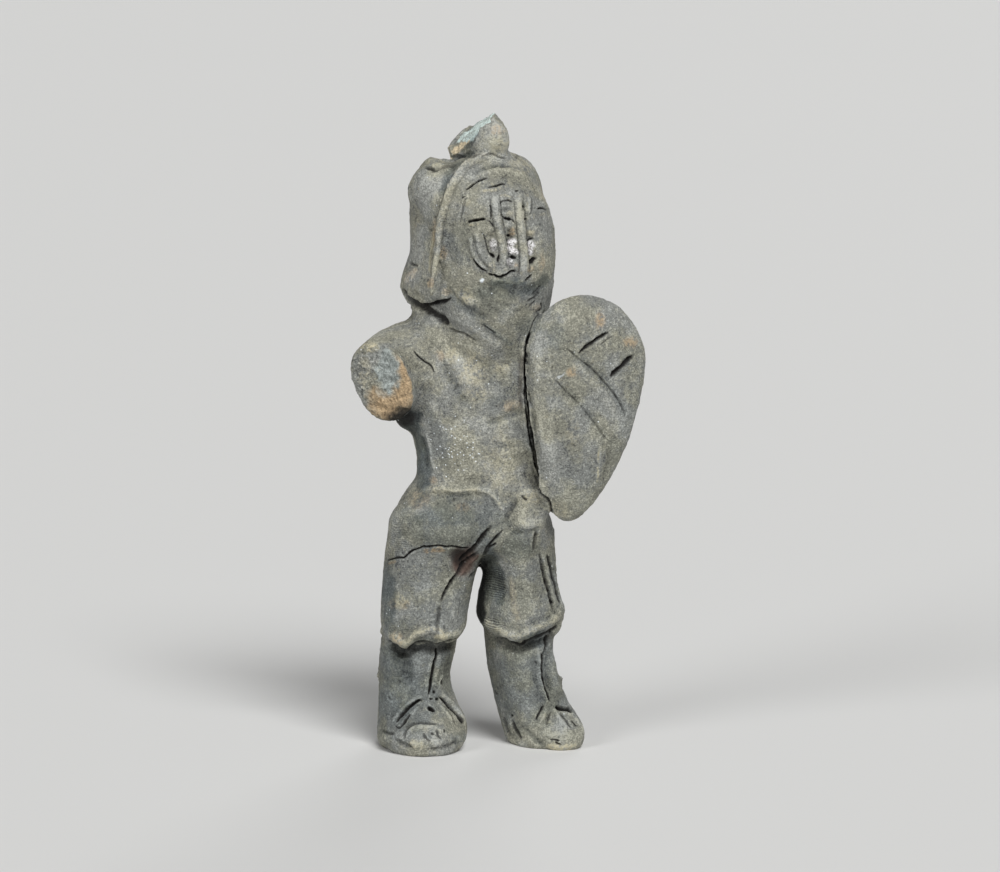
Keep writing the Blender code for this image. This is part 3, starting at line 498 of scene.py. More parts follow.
def hip_marks():
    """The roll over the hips, the left hip's knob, the thigh's crack and the groin's gouge."""
    roll = (-17.2, 49.1, -16.2, 50.7, -14.8, 51.6, -12, 51.9, -9, 51.6, -6, 51.8, -3.5, 51.7,
        -1.6, 50.7, -0.2, 49.1, 0.5, 47.3, 0.6, 45.9)
    crack = (-22.7, 37.4, -22, 37.8, -20.8, 38.1, -20, 38.2, -19.2, 38.2, -18.4, 38.9, -17.5, 39.6,
        -16.8, 39.8, -15.5, 40.3, -14.4, 40.3, -12.5, 40.6, -10.8, 40.4, -9.5, 40.5, -8, 40.2,
        -6, 40.1)
    yield from marks((
        # The roll over the hips: hollow above, a worn edge that is also painted highlight, and its
        # slope below darkened as painted shade.
        ((3.4, 0.3), {"worn": 0.35}, -16.8, 51.9, -14.8, 53.1, -12, 53.5, -8.8, 53.3, -5.6, 53.5,
            -2.6, 53.3, -0.4, 52.1, 1.2, 50.1),
        ((2.2, -0.5), WORN_LESS, *roll),
        ((0.7, -0.2), {"worn": 1, "buff": 0.5}, *moved_aside(roll, 0.1)),
        ((9.5, 4.4, 0.3), {"smoke": 0.45}, -9.6, 45.7),
        ((4.5, 3, -0.3), {}, -6.4, 47.3),
        ((4, 3.6, -0.25), {}, -13.6, 46.5),
        ((2.6, 0.3), {}, -20.8, 45.7, -20, 43.7, -19.6, 41.5),
        # The knob at the left hip, and the valley round it.
        ((1.5, 0.5), {"dirt": 0.35}, 1, 44.9, 1.6, 46.9, 2.6, 48.7, 3.8, 50.1),
        ((3.9, 3.4, 0.35), {}, 6.2, 47.5),
        ((1.4, -0.25), WORN_MOST, 3.4, 50.3, 5, 51.2, 7, 51.3, 8.4, 50.5),
        ((0.6, 0.5, 0.12), DEEP, 4.3, 50.6, 4.8, 50.1, 5.5, 49.7),
        ((1.6, 0.4), {"smoke": 0.3}, 1.8, 43.9, 3.6, 43.1, 6.2, 43.3, 8.4, 44.3),
        # The crack right across the thigh, with oxidised clay along its lower edge.
        ((0.42, 0.65, 0.05, 0.05), DEEP, *crack),
        ((0.7, -0.12), WORN_LEAST, *moved_aside(crack, 0.45)),
        ((1.3, 0), {"orange": 1}, -15.6, 39.5, -14, 39.6, -12, 39.8, -10.6, 39.5),
        ((0.6, 0), {"orange": 0.9}, -22.6, 36.9, -21.6, 37.2, -20.6, 37.5),
        # The gouge that a thumb and a stick left in the groin: a hollow with a red-brown slope,
        # darkened also as painted shadow of its lip.
        ((2.4, 4.4, 0.8, -28), {"rust": 1.1}, -7.2, 37.3),
        ((2.6, 2.4, 0.3, -20), {"dirt": 0.7, "rust": 0.6}, -8, 38.1),
        ((1.5, 1.7, 0.35, -12), {"rust": 0.8, "dirt": 0.55}, -8.2, 38.9),
        ((1.1, 1.1, 0.12, 0.3), DEEP, -1.2, 45.1, -2.6, 43.5, -4.1, 41.6, -5.6, 39.7, -6.8, 38.1,
            -8.4, 35.9),
        ((0.8, 1, 0.16, 0.35), DEEP, -3.6, 40.3, -5.4, 38.5, -7, 36.6, -8.6, 34.9, -9.7, 33.5,
            -10.8, 31.7, -11.5, 30.1, -11.9, 28.1),
        ((0.9, -0.3), {"rust": 1}, -4, 39.3, -5.4, 37.7, -7, 35.7, -8.2, 34.1),
        ((0.9, -0.3), {"worn": 0.5}, -0.4, 44.3, -2, 42.3, -3.8, 40.3),
        ((0.6, 0.6, 0.1, 0.3), {"dirt": 0.8}, 1, 44.1, -0.6, 42.5, -2.2, 40.7, -3.8, 38.5),
        ((0.8, 0.4, 0.1), {"dirt": 0.7}, -1.6, 40.5, -2.8, 39.3, -4, 37.3, -5, 35.3, -6.8, 33.9),
        ((0.6, 0.45), DEEP, -0.6, 41.1, -1.6, 40.6, -2.6, 39.9),
    ))


def right_leg_marks():
    """The sword side's leg: hem, shin, straps and toes."""
    hem = (-22.8, 22.5, -21.2, 22.3, -19.8, 21.5, -18.6, 21.1, -17.6, 22.1, -16.2, 23.1, -14, 23.7,
        -12.4, 23.7, -11.4, 22.5, -9.6, 22.9, -7.4, 23.1)
    yield from marks((
        ((1.1, 0.3), FAINT, -12, 28.9, -12.4, 25.7, -12.8, 23.1),
        ((3, 0.25), {"smoke": 0.3}, -21.2, 34.7, -21.8, 30.5, -22.2, 26.1),
        ((4, -0.25), {}, -16, 34.7, -16.4, 30.5, -16, 26.5),
        ((2.6, -0.25), {"worn": 0.3}, -9.4, 32.5, -9.6, 28.9, -9, 25.3),
        # The trouser's hem: a drooping lip, with the shadow that it throws painted dark under it.
        ((2.4, 1, 0, 0.1), {"dirt": 0.5, "smoke": 0.5}, -22.4, 20.7, -20.8, 20.1, -18.8, 18.7,
            -17.2, 20.1, -14.8, 20.1, -12.6, 19.7, -10.8, 20.1, -8.8, 20.3, -7.2, 20.3),
        ((2.2, -0.75, 0, 0.1), WORN, *hem),
        ((1, -0.15), {"worn": 0.8, "buff": 0.7}, *moved_aside(hem, -0.3)),
        ((0.9, 0.5, 0, 0.08), {"dirt": 0.8}, -22.8, 21.5, -21.4, 21.3, -20, 20.4, -18.8, 19.5,
            -17.6, 20.5, -16.4, 21.2, -14.6, 21.1, -12.8, 20.7, -11.2, 21, -10, 21.5, -8, 21.5,
            -7, 21.1),
        ((1.3, 1.3, -0.2, 15), RUBBED, -19.2, 20.9),
        ((1.6, 0.9, -0.35, 15), RUBBED, -12, 22.5),
        ((0.7, 0.5, -0.35, 30), {"buff": 0.6}, -6.8, 21.4),
        # The hollow down the shin's outer side, darkened as painted shade, the groove down its front,
        # and the ridge inside it.
        ((4.2, 0.8), {"smoke": 0.8}, -22, 20.1, -20.2, 18.7, -18.6, 16.5, -19.2, 13.7, -20.4, 10.9),
        ((2, 0.35), {"smoke": 0.7, "dirt": 0.12}, -22.8, 20.9, -20.8, 19.7, -19, 17.7, -17.8, 15.3),
        ((2.6, -0.35), {}, -16.4, 19.3, -16.8, 16.1, -17.2, 12.9, -18, 10.5),
        ((0.66, 0.9, 0.15, 0.12), DEEP, -12.4, 19.9, -12.8, 18.5, -13.2, 17.3, -13.5, 15.7,
            -13.8, 14.1, -14, 12.5, -14.2, 11.3, -14.3, 10.5),
        ((1, -0.35), {"worn": 0.5}, -11.8, 19.7, -12.2, 17.3, -12.7, 14.5, -13.1, 12.1),
        ((0.9, -0.3), WORN, -14, 17.3, -14.4, 15.3, -14.7, 13.3, -15, 11.3),
        # Painted shade on the shin's inner side under the hem.
        ((2.2, 0.5), {"smoke": 0.4}, -9.8, 19.3, -10.2, 16.5, -10.8, 13.7, -10.6, 11.7),
        ((0.4, 0.4, 0.6, -10), DEEP, -13.2, 11.3),
        ((0.5, 0.34, 0.5, -10), DEEP, -12.6, 9.9),
        ((0.4, 0.3, 0.5, -10), DEEP, -13.8, 9.9),
        ((0.3, 0.8, 0.45, -10), DEEP, -11.6, 13.3),
        ((0.4, 0.28, 0.4, -10), DEEP, -13.5, 2.9),
        ((0.25, 0.5, 0.35, -10), DEEP, -11.2, 3.5),
        ((0.6, -0.3), WORN, -10.6, 15.1, -11.8, 14.1, -12.2, 12.9, -11.8, 11.7),
        # Sandal straps, raised, with a cut along their inner side.
        ((1.1, -0.5), WORN_MOST, -15.2, 10.9, -16, 10.1, -17.8, 9.3, -19.6, 7.7, -21.2, 5.9,
            -21.8, 4.3),
        ((0.62, 0.85, 0, 0.12), DEEP, -15.4, 9.4, -16, 9.7, -16.8, 9.3, -18, 8.3, -19.2, 7.1,
            -20.4, 5.9, -20.9, 5.2),
        ((0.8, -0.3), WORN_LESS, -16, 8.5, -17.4, 7.3, -18.6, 6.1, -19.8, 4.9),
        ((0.5, 0.5, 0.06), DEEP, -17.6, 7.1, -18.6, 5.9, -19.6, 4.7, -20.4, 4.2, -21.2, 4.8),
        ((1.1, -0.5), WORN_MOST, -12, 11.5, -11, 10.3, -9.6, 8.9, -8.2, 7.1, -7.2, 5.1, -6.8, 3.5),
        ((0.62, 0.8, 0, 0.15), DEEP, -12.4, 10.5, -11.4, 9.7, -10.4, 8.5, -9.2, 7.3, -8.2, 6.1,
            -7.4, 4.7),
        ((0.9, -0.35), WORN_LESS, -12.8, 9.3, -11.4, 8.1, -10.2, 6.5, -9.2, 4.9),
        ((0.45, 0.35), FAINT, -11.6, 8.9, -10.4, 7.5, -9.4, 5.9, -8.6, 4.3),
        ((0.95, 0.5, 1.2, -32), POCKET, -13.8, 7.9),
        # The toes' round cap and the sole's edge.
        ((1.2, -0.45), {"worn": 0.7}, -18.6, 0.9, -18.5, 2.5, -17.8, 3.7, -16.4, 4.3, -14.4, 4.3,
            -12.4, 3.9, -10.8, 2.7, -10.2, 1.3),
        ((0.9, 0.4), FAINT, -19.2, 1.5, -19, 3.3, -18.2, 4.5, -16.6, 5.1, -14.2, 5.1, -12, 4.7),
        ((0.8, -0.3), WORN_LEAST, -14, 3.9, -13.6, 2.9, -12.8, 1.9),
        ((0.5, 0.35), FAINT, -12.8, 3.9, -12.4, 2.7, -11.8, 1.7),
        ((2.2, -0.4), {"worn": 1, "buff": 0.5}, -18, 1.5, -16.6, 0.7, -15.2, 0.9),
        ((1.8, -0.3), {"worn": 0.7}, -14.4, 1.7, -12.6, 1.3, -10.8, 2.1),
        ((0.7, 0.3), FAINT, -15.4, 3.3, -14.8, 2.1, -13.8, 1.3),
        ((1.2, 0.4), {"dirt": 0.4}, -21.4, 2.3, -19.4, 0.9, -17.2, 0.3),
        ((1, 0.35), {"dirt": 0.35}, -15.2, -0.1, -12.6, -0.1, -10, 0.7, -8, 1.9),
        ((1.6, 1.3, -0.35), WORN_MOST, -23.2, 1.9),
        ((0.8, 0.35), FAINT, -23.8, 3.7, -22.4, 3.1, -21, 3.1),
        ((1.2, -0.2), WORN, -8.6, 2.7, -7.8, 1.5, -7.6, 0.1),
    ))


WEAR_SEED = 7


def small_wear_marks():
    """Scuffs and nicks scattered over the plain parts of the front."""
    draw = random.Random(WEAR_SEED)
    for middle, half, count in (
        ((-14.0, 106.7), (3.4, 8.0), 9), ((-4.0, 89.7), (8.0, 3.0), 7),
        ((-6.0, 70.7), (11.0, 9.0), 19), ((-6.0, 59.7), (9.0, 9.0), 14),
        ((-10.0, 46.1), (11.0, 5.0), 15), ((-16.0, 31.7), (6.0, 8.0), 16),
        ((5.0, 31.7), (6.0, 9.0), 14), ((-17.0, 14.7), (5.0, 6.0), 12),
        ((4.4, 14.7), (5.0, 7.0), 13), ((18.0, 71.7), (8.0, 15.0), 24),
        ((0.0, 120.7), (4.0, 3.0), 5),
    ):
        for _ in range(count):
            place = tuple(c + h * draw.uniform(-1.0, 1.0) for c, h in zip(middle, half))
            turn = draw.uniform(-1.0, 1.0) * 0.8 + 0.5 * math.pi * (draw.random() < 0.6)
            run = draw.uniform(0.5, 1.9)
            end = (place[0] + run * math.cos(turn), place[1] + run * math.sin(turn))
            worn = draw.random() < 0.55
            yield Stroke(
                (place, end), draw.uniform(0.45, 0.8), -0.05 if worn else 0.12, 0.04, 0.4,
                {"worn": draw.uniform(0.4, 0.9)} if worn else {"dirt": draw.uniform(0.15, 0.45)},
            )


def left_leg_marks():
    """The shield side's leg: fingerprints' hollow in painted shadow, thigh folds, hem, shin, straps
    and toes.
    """
    hem = (-3.8, 26.3, -2.2, 24.9, -0.2, 23.7, 2, 22.8, 3.8, 22.4, 5.4, 23.1, 7.4, 24.2, 9.6, 25.1,
        11.2, 26.3, 12.4, 27.9)
    yield from marks((
        # The thigh's inner side, where the fingerprints are, darkened as painted shadow of the other
        # leg.
        ((3.4, 0.5), {"smoke": 0.9}, -0.6, 37.7, -0.4, 32.7, 0, 27.7),
        ((2.6, 0), {"dirt": 0.85, "smoke": 1}, -2.8, 38.5, -3.6, 35.3, -4, 31.7, -3.8, 27.3,
            -3.2, 24.1),
        ((1.5, -0.55, 0, 0.3), {"buff": 0.6, "rust": 0.25}, 2.2, 34.9, 2.5, 31.7, 3, 28.1,
            3.8, 24.7),
        ((3.2, -0.2), {"worn": 0.2}, 5, 40.7, 5.2, 35.7, 6, 30.1, 6.8, 25.7),
        ((0.9, 0.55, 0, 0.4), {"dirt": 0.7}, 7.6, 44.1, 7.2, 42.7, 6.8, 40.7, 6.5, 39.1),
        ((0.7, 0.5, 0.1, 0.2), {"dirt": 0.7}, 7.7, 39.7, 8.2, 37.3, 8.7, 34.9, 9.4, 32.1, 10.1, 29.3,
            10.6, 27.1),
        ((0.7, 0.55, 0.1, 0.2), {"dirt": 0.9}, 9.2, 39.5, 9.8, 37.3, 10.4, 34.7, 11, 32.5,
            11.5, 30.1, 11.6, 28.5),
        ((1, -0.35), WORN_MOST, 8.4, 39.3, 9, 36.5, 9.7, 33.3, 10.5, 30.1, 11.1, 27.3),
        ((0.3, 0.45, 0.5, 15), DEEP, 9, 33.4),
        ((0.3, 0.5, 0.5, 15), DEEP, 9.6, 31.7),
        ((0.35, 0.55, 0.5, 15), DEEP, 10.2, 29.3),
        # The trouser's hem, lowest in the middle, with its shadow painted dark under it.
        ((2, 0.85, 0, 0.15), {"dirt": 0.4}, -1.6, 22.5, 0.8, 21.1, 3.8, 19.7, 6.6, 20.7, 9.2, 21.7,
            11.2, 23.3),
        ((2.2, -0.75, 0, 0.15), WORN, *hem),
        ((1, -0.15), {"worn": 0.8, "buff": 0.6}, *moved_aside(hem, -0.3)),
        ((0.9, 0.5, 0, 0.12), {"dirt": 0.9}, 0, 22.1, 1.6, 21.5, 2.8, 21.1, 4, 20.7, 5.4, 21.4,
            7.2, 22.2, 9.2, 23.1, 10.6, 23.8, 11.8, 24.9),
        ((1.9, 2.4, -0.55), {"worn": 0.3}, 12.2, 28.3),
        # The shin's deep groove, the ridge that runs from it to the straps, and the hollow behind,
        # darkened as painted shade.
        ((0.8, 0.95, 0.12, 0.12), DEEP, 10.4, 23.7, 9.9, 22.2, 9.3, 20.5, 8.9, 19.1, 8.6, 17.5,
            8.5, 16.1, 8.4, 14.3),
        ((1, -0.6), {"worn": 1.1}, 7.8, 20.1, 7.6, 17.7, 7.6, 15.3, 8.2, 12.5, 9.2, 10.3, 10.2, 8.5),
        ((0.6, 0.7, 0.1, 0.1), {"dirt": 0.9}, 8.4, 19.3, 8.2, 16.9, 8.4, 14.5, 9, 11.7, 10, 9.3),
        ((1.8, 0.6), {"smoke": 0.6}, 10, 21.3, 9.5, 18.5, 9.2, 15.7, 9.8, 12.9, 10.6, 10.3),
        ((1.3, -0.35), {"worn": 0.5}, 11.4, 21.7, 11, 18.7, 10.8, 16.1, 11.4, 13.3, 12.4, 10.7),
        ((4, 0.3), {"smoke": 0.4}, 0.6, 20.1, 1.8, 17.3, 2.8, 13.7, 3.8, 10.1),
        ((3.4, -0.3), {"worn": 0.2}, 4.8, 19.7, 5.2, 16.1, 6, 12.1, 6.8, 9.3),
        ((1, 1.2, 0.1, 0.15), DEEP, 11.1, 8.5, 12, 8.1, 13, 7.9, 14, 7.8, 14.6, 7.2),
        ((0.8, -0.3), WORN_MOST, 11.2, 7.3, 12.4, 7.1, 13.8, 6.9, 15, 6.3),
        ((1, -0.5), WORN_MOST, 10.4, 8.5, 11.2, 7.1, 12.1, 5.7, 13, 4.5, 13.6, 3.5),
        ((0.5, 0.4), FAINT, 11.8, 7.5, 12.6, 6.5, 13.5, 5.2, 14.2, 3.9),
        ((1, -0.5), WORN_MOST, 9.9, 8.5, 9.2, 7.3, 8.6, 6, 7.9, 4.8, 8.6, 4.1),
        ((0.6, 0.45), DEEP, 8.9, 8.8, 8.2, 7.7, 7.4, 6.3, 7.2, 5.5),
        ((0.7, 0.4), FAINT, 10.2, 7.5, 9.7, 6.1, 9.2, 4.5),
        ((0.4, 0.3), DEEP, 14.2, 5.7, 14.8, 5.1, 15.4, 4.3),
        ((0.7, -0.25), WORN_MOST, 14.6, 6.7, 15.6, 5.5, 16.5, 3.9, 16.8, 2.1),
        ((0.5, 0.4), DEEP, 9.9, 1.7, 10.8, 1.8, 12, 1.5),
        ((0.4, 0.3), DEEP, 11, 1.5, 11.4, 1, 12.4, 0.8),
        ((1.2, -0.35), WORN_MOST, 8.6, 2.3, 10.6, 2.7, 13.2, 2.7, 15.4, 2.1),
        ((2.2, -0.25), {"buff": 1, "worn": 1}, 9, 0.7, 11.2, 0.1, 13.6, 0.1, 16, 0.9),
        ((1.4, 0.35), {"smoke": 0.5}, 4.8, 4.3, 6, 2.9, 7.4, 1.5, 9, 0.5),
        ((0.8, 0.4), {"dirt": 0.8}, 2.6, 5.9, 3, 4.5, 3.6, 3.3, 4.5, 1.8),
        ((0.8, 0.35), FAINT, 0.8, 6.5, 1.4, 4.3, 2.4, 2.3),
        ((1, -0.3), WORN_LEAST, 1.6, 7.3, 2.2, 5.3, 3, 3.1),
        ((0.3, 0.3, 0.35), DEEP, 2.5, 6.6),
        ((0.6, 0.3), FAINT, -1.4, 11.7, -1, 11, -0.5, 10.9),
    ))


def shield_marks():
    """The shield's two strokes, its two band lines with painted shade beside them, and the wear on
    its edge.
    """
    yield from marks((
        ((0.8, 0.75, 0.18, 0.2), DEEP, 15.5, 78.7, 17.2, 80.4, 18.4, 81.2, 19.5, 82, 20.8, 82.8,
            22, 83.5),
        ((1.1, 0.9, 0.15, 0.2), DEEP, 21.9, 74.1, 22.6, 74.9, 23.6, 75.8, 24.4, 76.5, 25.6, 77.8,
            26.8, 78.9),
        ((0.5, 0.25, 0.14, 0.1), {"dirt": 0.4}, 12.6, 80.3, 14, 79.5, 15.4, 78.3, 18, 76.3,
            19.6, 74.7, 21, 73.2, 22.4, 71.5, 23.5, 70, 24.4, 68.3, 25.2, 65.9),
        # Painted shade beside the upper band line.
        ((2.4, 0.25, 0, 0.1), {"smoke": 0.45}, 14, 79.7, 16, 77.9, 18.4, 75.9, 20.6, 73.7,
            22.6, 71.1, 24, 68.9, 25.2, 66.1),
        ((0.5, 0.2, 0.16, 0.1), {"dirt": 0.2}, 10.5, 74.2, 12, 72.7, 13.4, 71.3, 15, 69.8,
            16.4, 68.3, 18, 66.3, 19.4, 64.5, 20.6, 62.7, 22.2, 61.1),
        # Painted shade beside the lower band line.
        ((2.2, 0.25, 0, 0.1), {"smoke": 0.35}, 12, 72.7, 14.4, 70.5, 16.8, 67.9, 19.2, 64.9,
            21.6, 61.7),
        ((2.6, -0.35), {"buff": 0.12}, 14, 77.3, 16.4, 75.3, 18.8, 72.9, 20.8, 70.5, 22.4, 67.9,
            23.2, 65.7),
        ((0.8, -0.1), {"buff": 0.3}, 22.4, 83.1, 24, 82.3, 25.6, 80.9),
        ((2.4, 0.3), {"smoke": 0.3}, 22.6, 61.3, 22.2, 58.7, 21.4, 55.7, 20.4, 52.5),
        ((1, -0.25), WORN, 20.2, 61.7, 20, 58.5, 19.6, 55.3, 19, 52.1),
        ((1.4, -0.1), WORN_LEAST, 8.2, 84.7, 7.6, 79.7, 7.4, 73.7, 7.6, 67.7, 8.4, 61.7, 9.8, 55.7,
            11, 50.7),
        ((0.4, 0.1), {"buff": 1}, 19.8, 60.3, 19.7, 58.7, 19.5, 56.7, 19.5, 54.5, 19.2, 52.5),
        ((0.35, 0.1), {"sky": 0.5}, 11.2, 74.3, 12.4, 74.5, 13, 75.3),
        ((0.4, 0.14), FAINT, 20, 80.7, 21.2, 81.7, 22.4, 82.5),
        ((1.4, -0.12), {}, 10.6, 80.3, 10, 77.3, 9.6, 73.7, 9.8, 69.7, 10.4, 64.7),
    ))


def back_marks():
    """Folds, finger drags, straps and soles at the back, and patches."""
    yield from plainer_marks(
        "back", 0.3,
        cuts=(
            (2.6, 0.45, 3, 77.7, 3.6, 67.7, 3.2, 57.7, 4.2, 49.7),
            (1.8, 0.3, -4, 41.3, 2, 39.9, 9, 39.3, 16, 40.7),
            (1.2, 0.6, 8, 35.3, 7.8, 31.7, 7.4, 28.5),
            (1.2, 0.4, -10, 13.7, -4, 12.5, 2.4, 12.9),
            (1.2, 0.4, 9.6, 12.9, 18, 11.3, 26.8, 12.9),
            (1, 0.4, -9.6, 92.7, -2, 89.1, 8, 87.9, 18, 90.1),
            (0.5, 0.2, -3, 116.5, 2, 108.5, 4, 100.5),
            (3.4, 0.35, -5, 112.4, -6.4, 104, -5.7, 93.9),
            (3.4, 0.35, 10.1, 109.1, 12.9, 100.7, 11.9, 92.2),
            (2.4, 0.2, 3.4, 114.1, 4.7, 107.4, 4, 100.7),
            (2.2, 0.35, -5.4, 80.5, -3, 76.1, -3.7, 70.7),
            (2.2, 0.35, 13.4, 80.1, 11.1, 75.4, 11.8, 70.4),
            (1.6, 0.35, -6.4, 38.5, -7.6, 33.1, -6.2, 27.4),
            (1.3, 0.35, 0, 36.4, -1.3, 31.7, -2.4, 27),
            (1.6, 0.35, 10.1, 36.8, 11.4, 31.7, 10.4, 26.4),
            (1.3, 0.3, 18.8, 38.5, 19.8, 31.7, 18.5, 26),
            (0.7, 0.4, -14.8, 9.9, -10.1, 12.1, -3.7, 11.2),
            (0.7, 0.4, 7.7, 11.2, 14.8, 12.9, 22.2, 11.2),
            (0.6, 0.35, -15.5, 5.4, -8.4, 4.3, -2, 4.9),
            (0.6, 0.35, 7.4, 5.2, 15.1, 4.3, 22.9, 5),
            (1.6, 0.25, -24.9, 83.8, -25.2, 75.4, -22.9, 65.4, -18.2, 56.1),
            (1.2, 0.3, -17.5, 80.5, -19.5, 72.1, -18.8, 63.7, -15.1, 58.6),
        ),
        ridges=(
            (2.4, 0.4, -8.1, 92.9, -1.7, 89.9, 6.7, 88.9, 15.5, 90.9),
            (2, 0.45, -8.4, 26.4, -3.4, 25.5, 2, 25.9),
            (2, 0.45, 8.1, 25.9, 15.1, 24.7, 22.5, 25.9),
            (1.6, 0.3, -5, 39.1, -6.1, 33.1, -4.7, 28),
            (1.6, 0.3, 8.7, 36.4, 9.7, 31.7, 8.9, 27),
            (2, 0.35, -9.7, 50.1, -3.4, 49.4, 6.7, 48.9, 17.6, 49.9),
            (1.2, 0.35, -14.8, 11.1, -10.1, 13.3, -3.7, 12.4),
            (1.2, 0.35, 7.7, 12.4, 14.8, 14.1, 22.2, 12.4),
        ),
        spots=(
            (-1.7, 73.8, 5, 6, -0.4, {"worn": 0.5}),
            (8.4, 73.8, 5, 6, -0.4, {"buff": 0.5}),
            (4.2, 65.4, 4, 3, 0.3, {"smoke": 0.4}),
            (6.7, 99.8, 5, 4, 0.3, {"smoke": 0.5}),
            (-1.7, 96.4, 4, 5, 0.25, {"buff": 0.5}),
            (11.8, 39.3, 3, 4, 0.25, {"orange": 0.4}),
            (-4.2, 23.3, 2.6, 5, -0.3, {"smoke": 0.4}),
            (12.6, 23.3, 3, 5, -0.3, {}),
            (0, 107.4, 5, 5, -0.2, {"worn": 0.6}),
            (10.1, 114.1, 3, 2, 0, {"orange": 0.5}),
            (20.2, 80.5, 4, 5, 0, {"smoke": 0.5}),
            (-6.7, 67, 3, 6, 0, {"smoke": 0.6}),
            (13.4, 58.6, 4, 6, 0, {"buff": 0.5}),
            (-3.4, 43.5, 4, 3.4, 0, {"worn": 0.5}),
            (15.1, 43.5, 4, 3.4, 0, {"worn": 0.4}),
            (-8.4, 14.9, 5, 8, 0, {"smoke": 0.6}),
            (16.8, 15.8, 5, 8, 0, {"smoke": 0.5}),
            (-11.8, 6.5, 4, 2, 0, {"buff": 0.7}),
            (15.1, 6.5, 4, 2, 0, {"buff": 0.6}),
            (-21.8, 87.2, 3, 4, 0, {"orange": 0.4}),
            (-16.8, 68.7, 3, 6, -0.2, {"worn": 0.6}),
        ),
    )


def right_side_marks():
    """The sword arm's side: the cap's drags, folds in the trouser, straps and the sole."""
    yield from plainer_marks(
        "right", 0.35,
        cuts=(
            (1, 0.3, 3.4, 89.2, -1.7, 88.4, -7.6, 89.1),
            (3, 0.35, -11.8, 111.4, -8.4, 106.4, -8.1, 99.6, -10.1, 93.8),
            (2.6, 0.25, 0, 115.6, 3.4, 108.9, 3, 101.3),
            (1.6, 0.3, -5, 85.4, -3.7, 78.6, -5, 71.9),
            (2.2, 0.3, -5.4, 66.9, -3.4, 61.8, -4, 55.9),
            (1.6, 0.35, 0, 46.7, -1.3, 38.3, -0.3, 29.9),
            (1.4, 0.35, -5, 43.3, -4.4, 34.9, -5.7, 26.5),
            (1.2, 0.3, 5.9, 39.1, 4.7, 33.3, 5.7, 27.4),
            (1, 0.4, -5.7, 22.2, 0.8, 21.7, 8.1, 22.5),
            (0.6, 0.45, 15.8, 6.4, 10.1, 9.7, 3.4, 12.4, -5, 11.7),
            (0.6, 0.4, -6.1, 5, 0, 4, 8.4, 3.5, 14.8, 4.3),
            (1.2, 0.25, 3.4, 19.8, 2, 15.6, 3.4, 12.8),
        ),
        ridges=(
            (2, 0.4, -6.4, 23.3, 0.8, 23, 7.6, 23.7),
            (1.3, 0.4, 15.1, 7.7, 10.1, 11.1, 3.4, 13.8, -5, 13.1),
            (1.8, 0.3, -14.3, 91.7, -8.4, 90.9, -0.8, 92.4),
            (1.4, 0.3, -1.7, 45.9, -3, 38.3, -2, 30.7),
            (1.3, 0.25, 0, 19.5, -0.3, 16.1, 0.3, 13.8),
        ),
        spots=(
            (-5, 103.8, 5, 6, -0.25, {"worn": 0.6}),
            (-10.1, 98, 3, 5, 0, {"buff": 0.6}),
            (0.8, 113.1, 4, 3, 0, {"smoke": 0.5}),
            (0, 78.6, 4, 5, -0.2, {"worn": 0.5}),
            (-3.4, 61.8, 4, 6, 0, {"smoke": 0.6}),
            (-5, 49.2, 4, 4, 0, {"buff": 0.5}),
            (1.7, 36.6, 4, 6, 0, {"smoke": 0.4}),
            (-1.7, 16.4, 4, 7, 0, {"smoke": 0.6}),
            (5, 6.4, 6, 1.6, 0, {"buff": 0.6}),
            (-4.2, 24.9, 2, 1.4, 0, {"orange": 0.6}),
        ),
    )


def left_side_marks():
    """The shield arm's side: the brim's edge, the shield's rim, folds, straps and the sole."""
    yield from plainer_marks(
        "left", 0.35,
        cuts=(
            (0.9, 0.3, -8.1, 118, -5, 112.4, -4, 105.7, -4.7, 98.1, -6.4, 91.4),
            (3, 0.3, 3.4, 114.9, 7.6, 108.2, 8.1, 99.8),
            (1.4, 0.3, 0, 98.1, 1, 93.1, 0, 88.9),
            (0.7, 0.3, -6.2, 88.9, -5, 79.6, -5.4, 67.9, -7.4, 55.3),
            (1.6, 0.3, 0, 72.9, 2, 66.2, 1, 59.5),
            (1.5, 0.35, -2.4, 46, -1.3, 38.5, -2.4, 30.9),
            (1.4, 0.3, 4.2, 41, 3, 34.3, 4.4, 28.6),
            (1, 0.4, -5, 25.2, 0.8, 24.5, 7.7, 25.9),
            (0.6, 0.4, -9.1, 4.7, -1.7, 3.7, 7.1, 4.7),
            (0.6, 0.45, -6.4, 8, -1.7, 11.1, 7.6, 10.7),
            (1.2, 0.12, 1, 20.8, 2.4, 16.6, 1.3, 12.8),
        ),
        ridges=(
            (1.8, 0.4, -9.6, 117.6, -6.7, 111.9, -5.7, 105.5, -6.4, 98.1, -8.1, 91.7),
            (1.7, 0.22, -5, 26.5, 0.8, 25.9, 7.7, 27.2),
            (1.3, 0.4, -6.7, 9.4, -1.7, 12.4, 7.6, 12.1),
            (1.4, 0.3, -4, 45.7, -3, 38.5, -4, 31.6),
            (1.6, 0.3, 10.1, 91.1, 13.4, 91.4, 15.5, 93.1),
        ),
        spots=(
            (3.4, 106.5, 5, 6, -0.2, {"worn": 0.6}),
            (10.9, 98.1, 3, 5, 0, {"buff": 0.6}),
            (0, 114.9, 4, 3, 0, {"smoke": 0.5}),
            (1.7, 81.3, 4, 6, 0, {"smoke": 0.6}),
            (0, 62.8, 3, 5, 0, {"worn": 0.5}),
            (3.4, 48.6, 4, 4, 0, {"buff": 0.5}),
            (0.8, 35.1, 4, 5, 0, {"smoke": 0.4}),
            (3.4, 17.5, 4, 7, 0, {"smoke": 0.6}),
            (0, 6.5, 6, 1.6, 0, {"buff": 0.6}),
            (-10.1, 76.3, 2, 8, 0, {"smoke": 0.4}),
        ),
    )


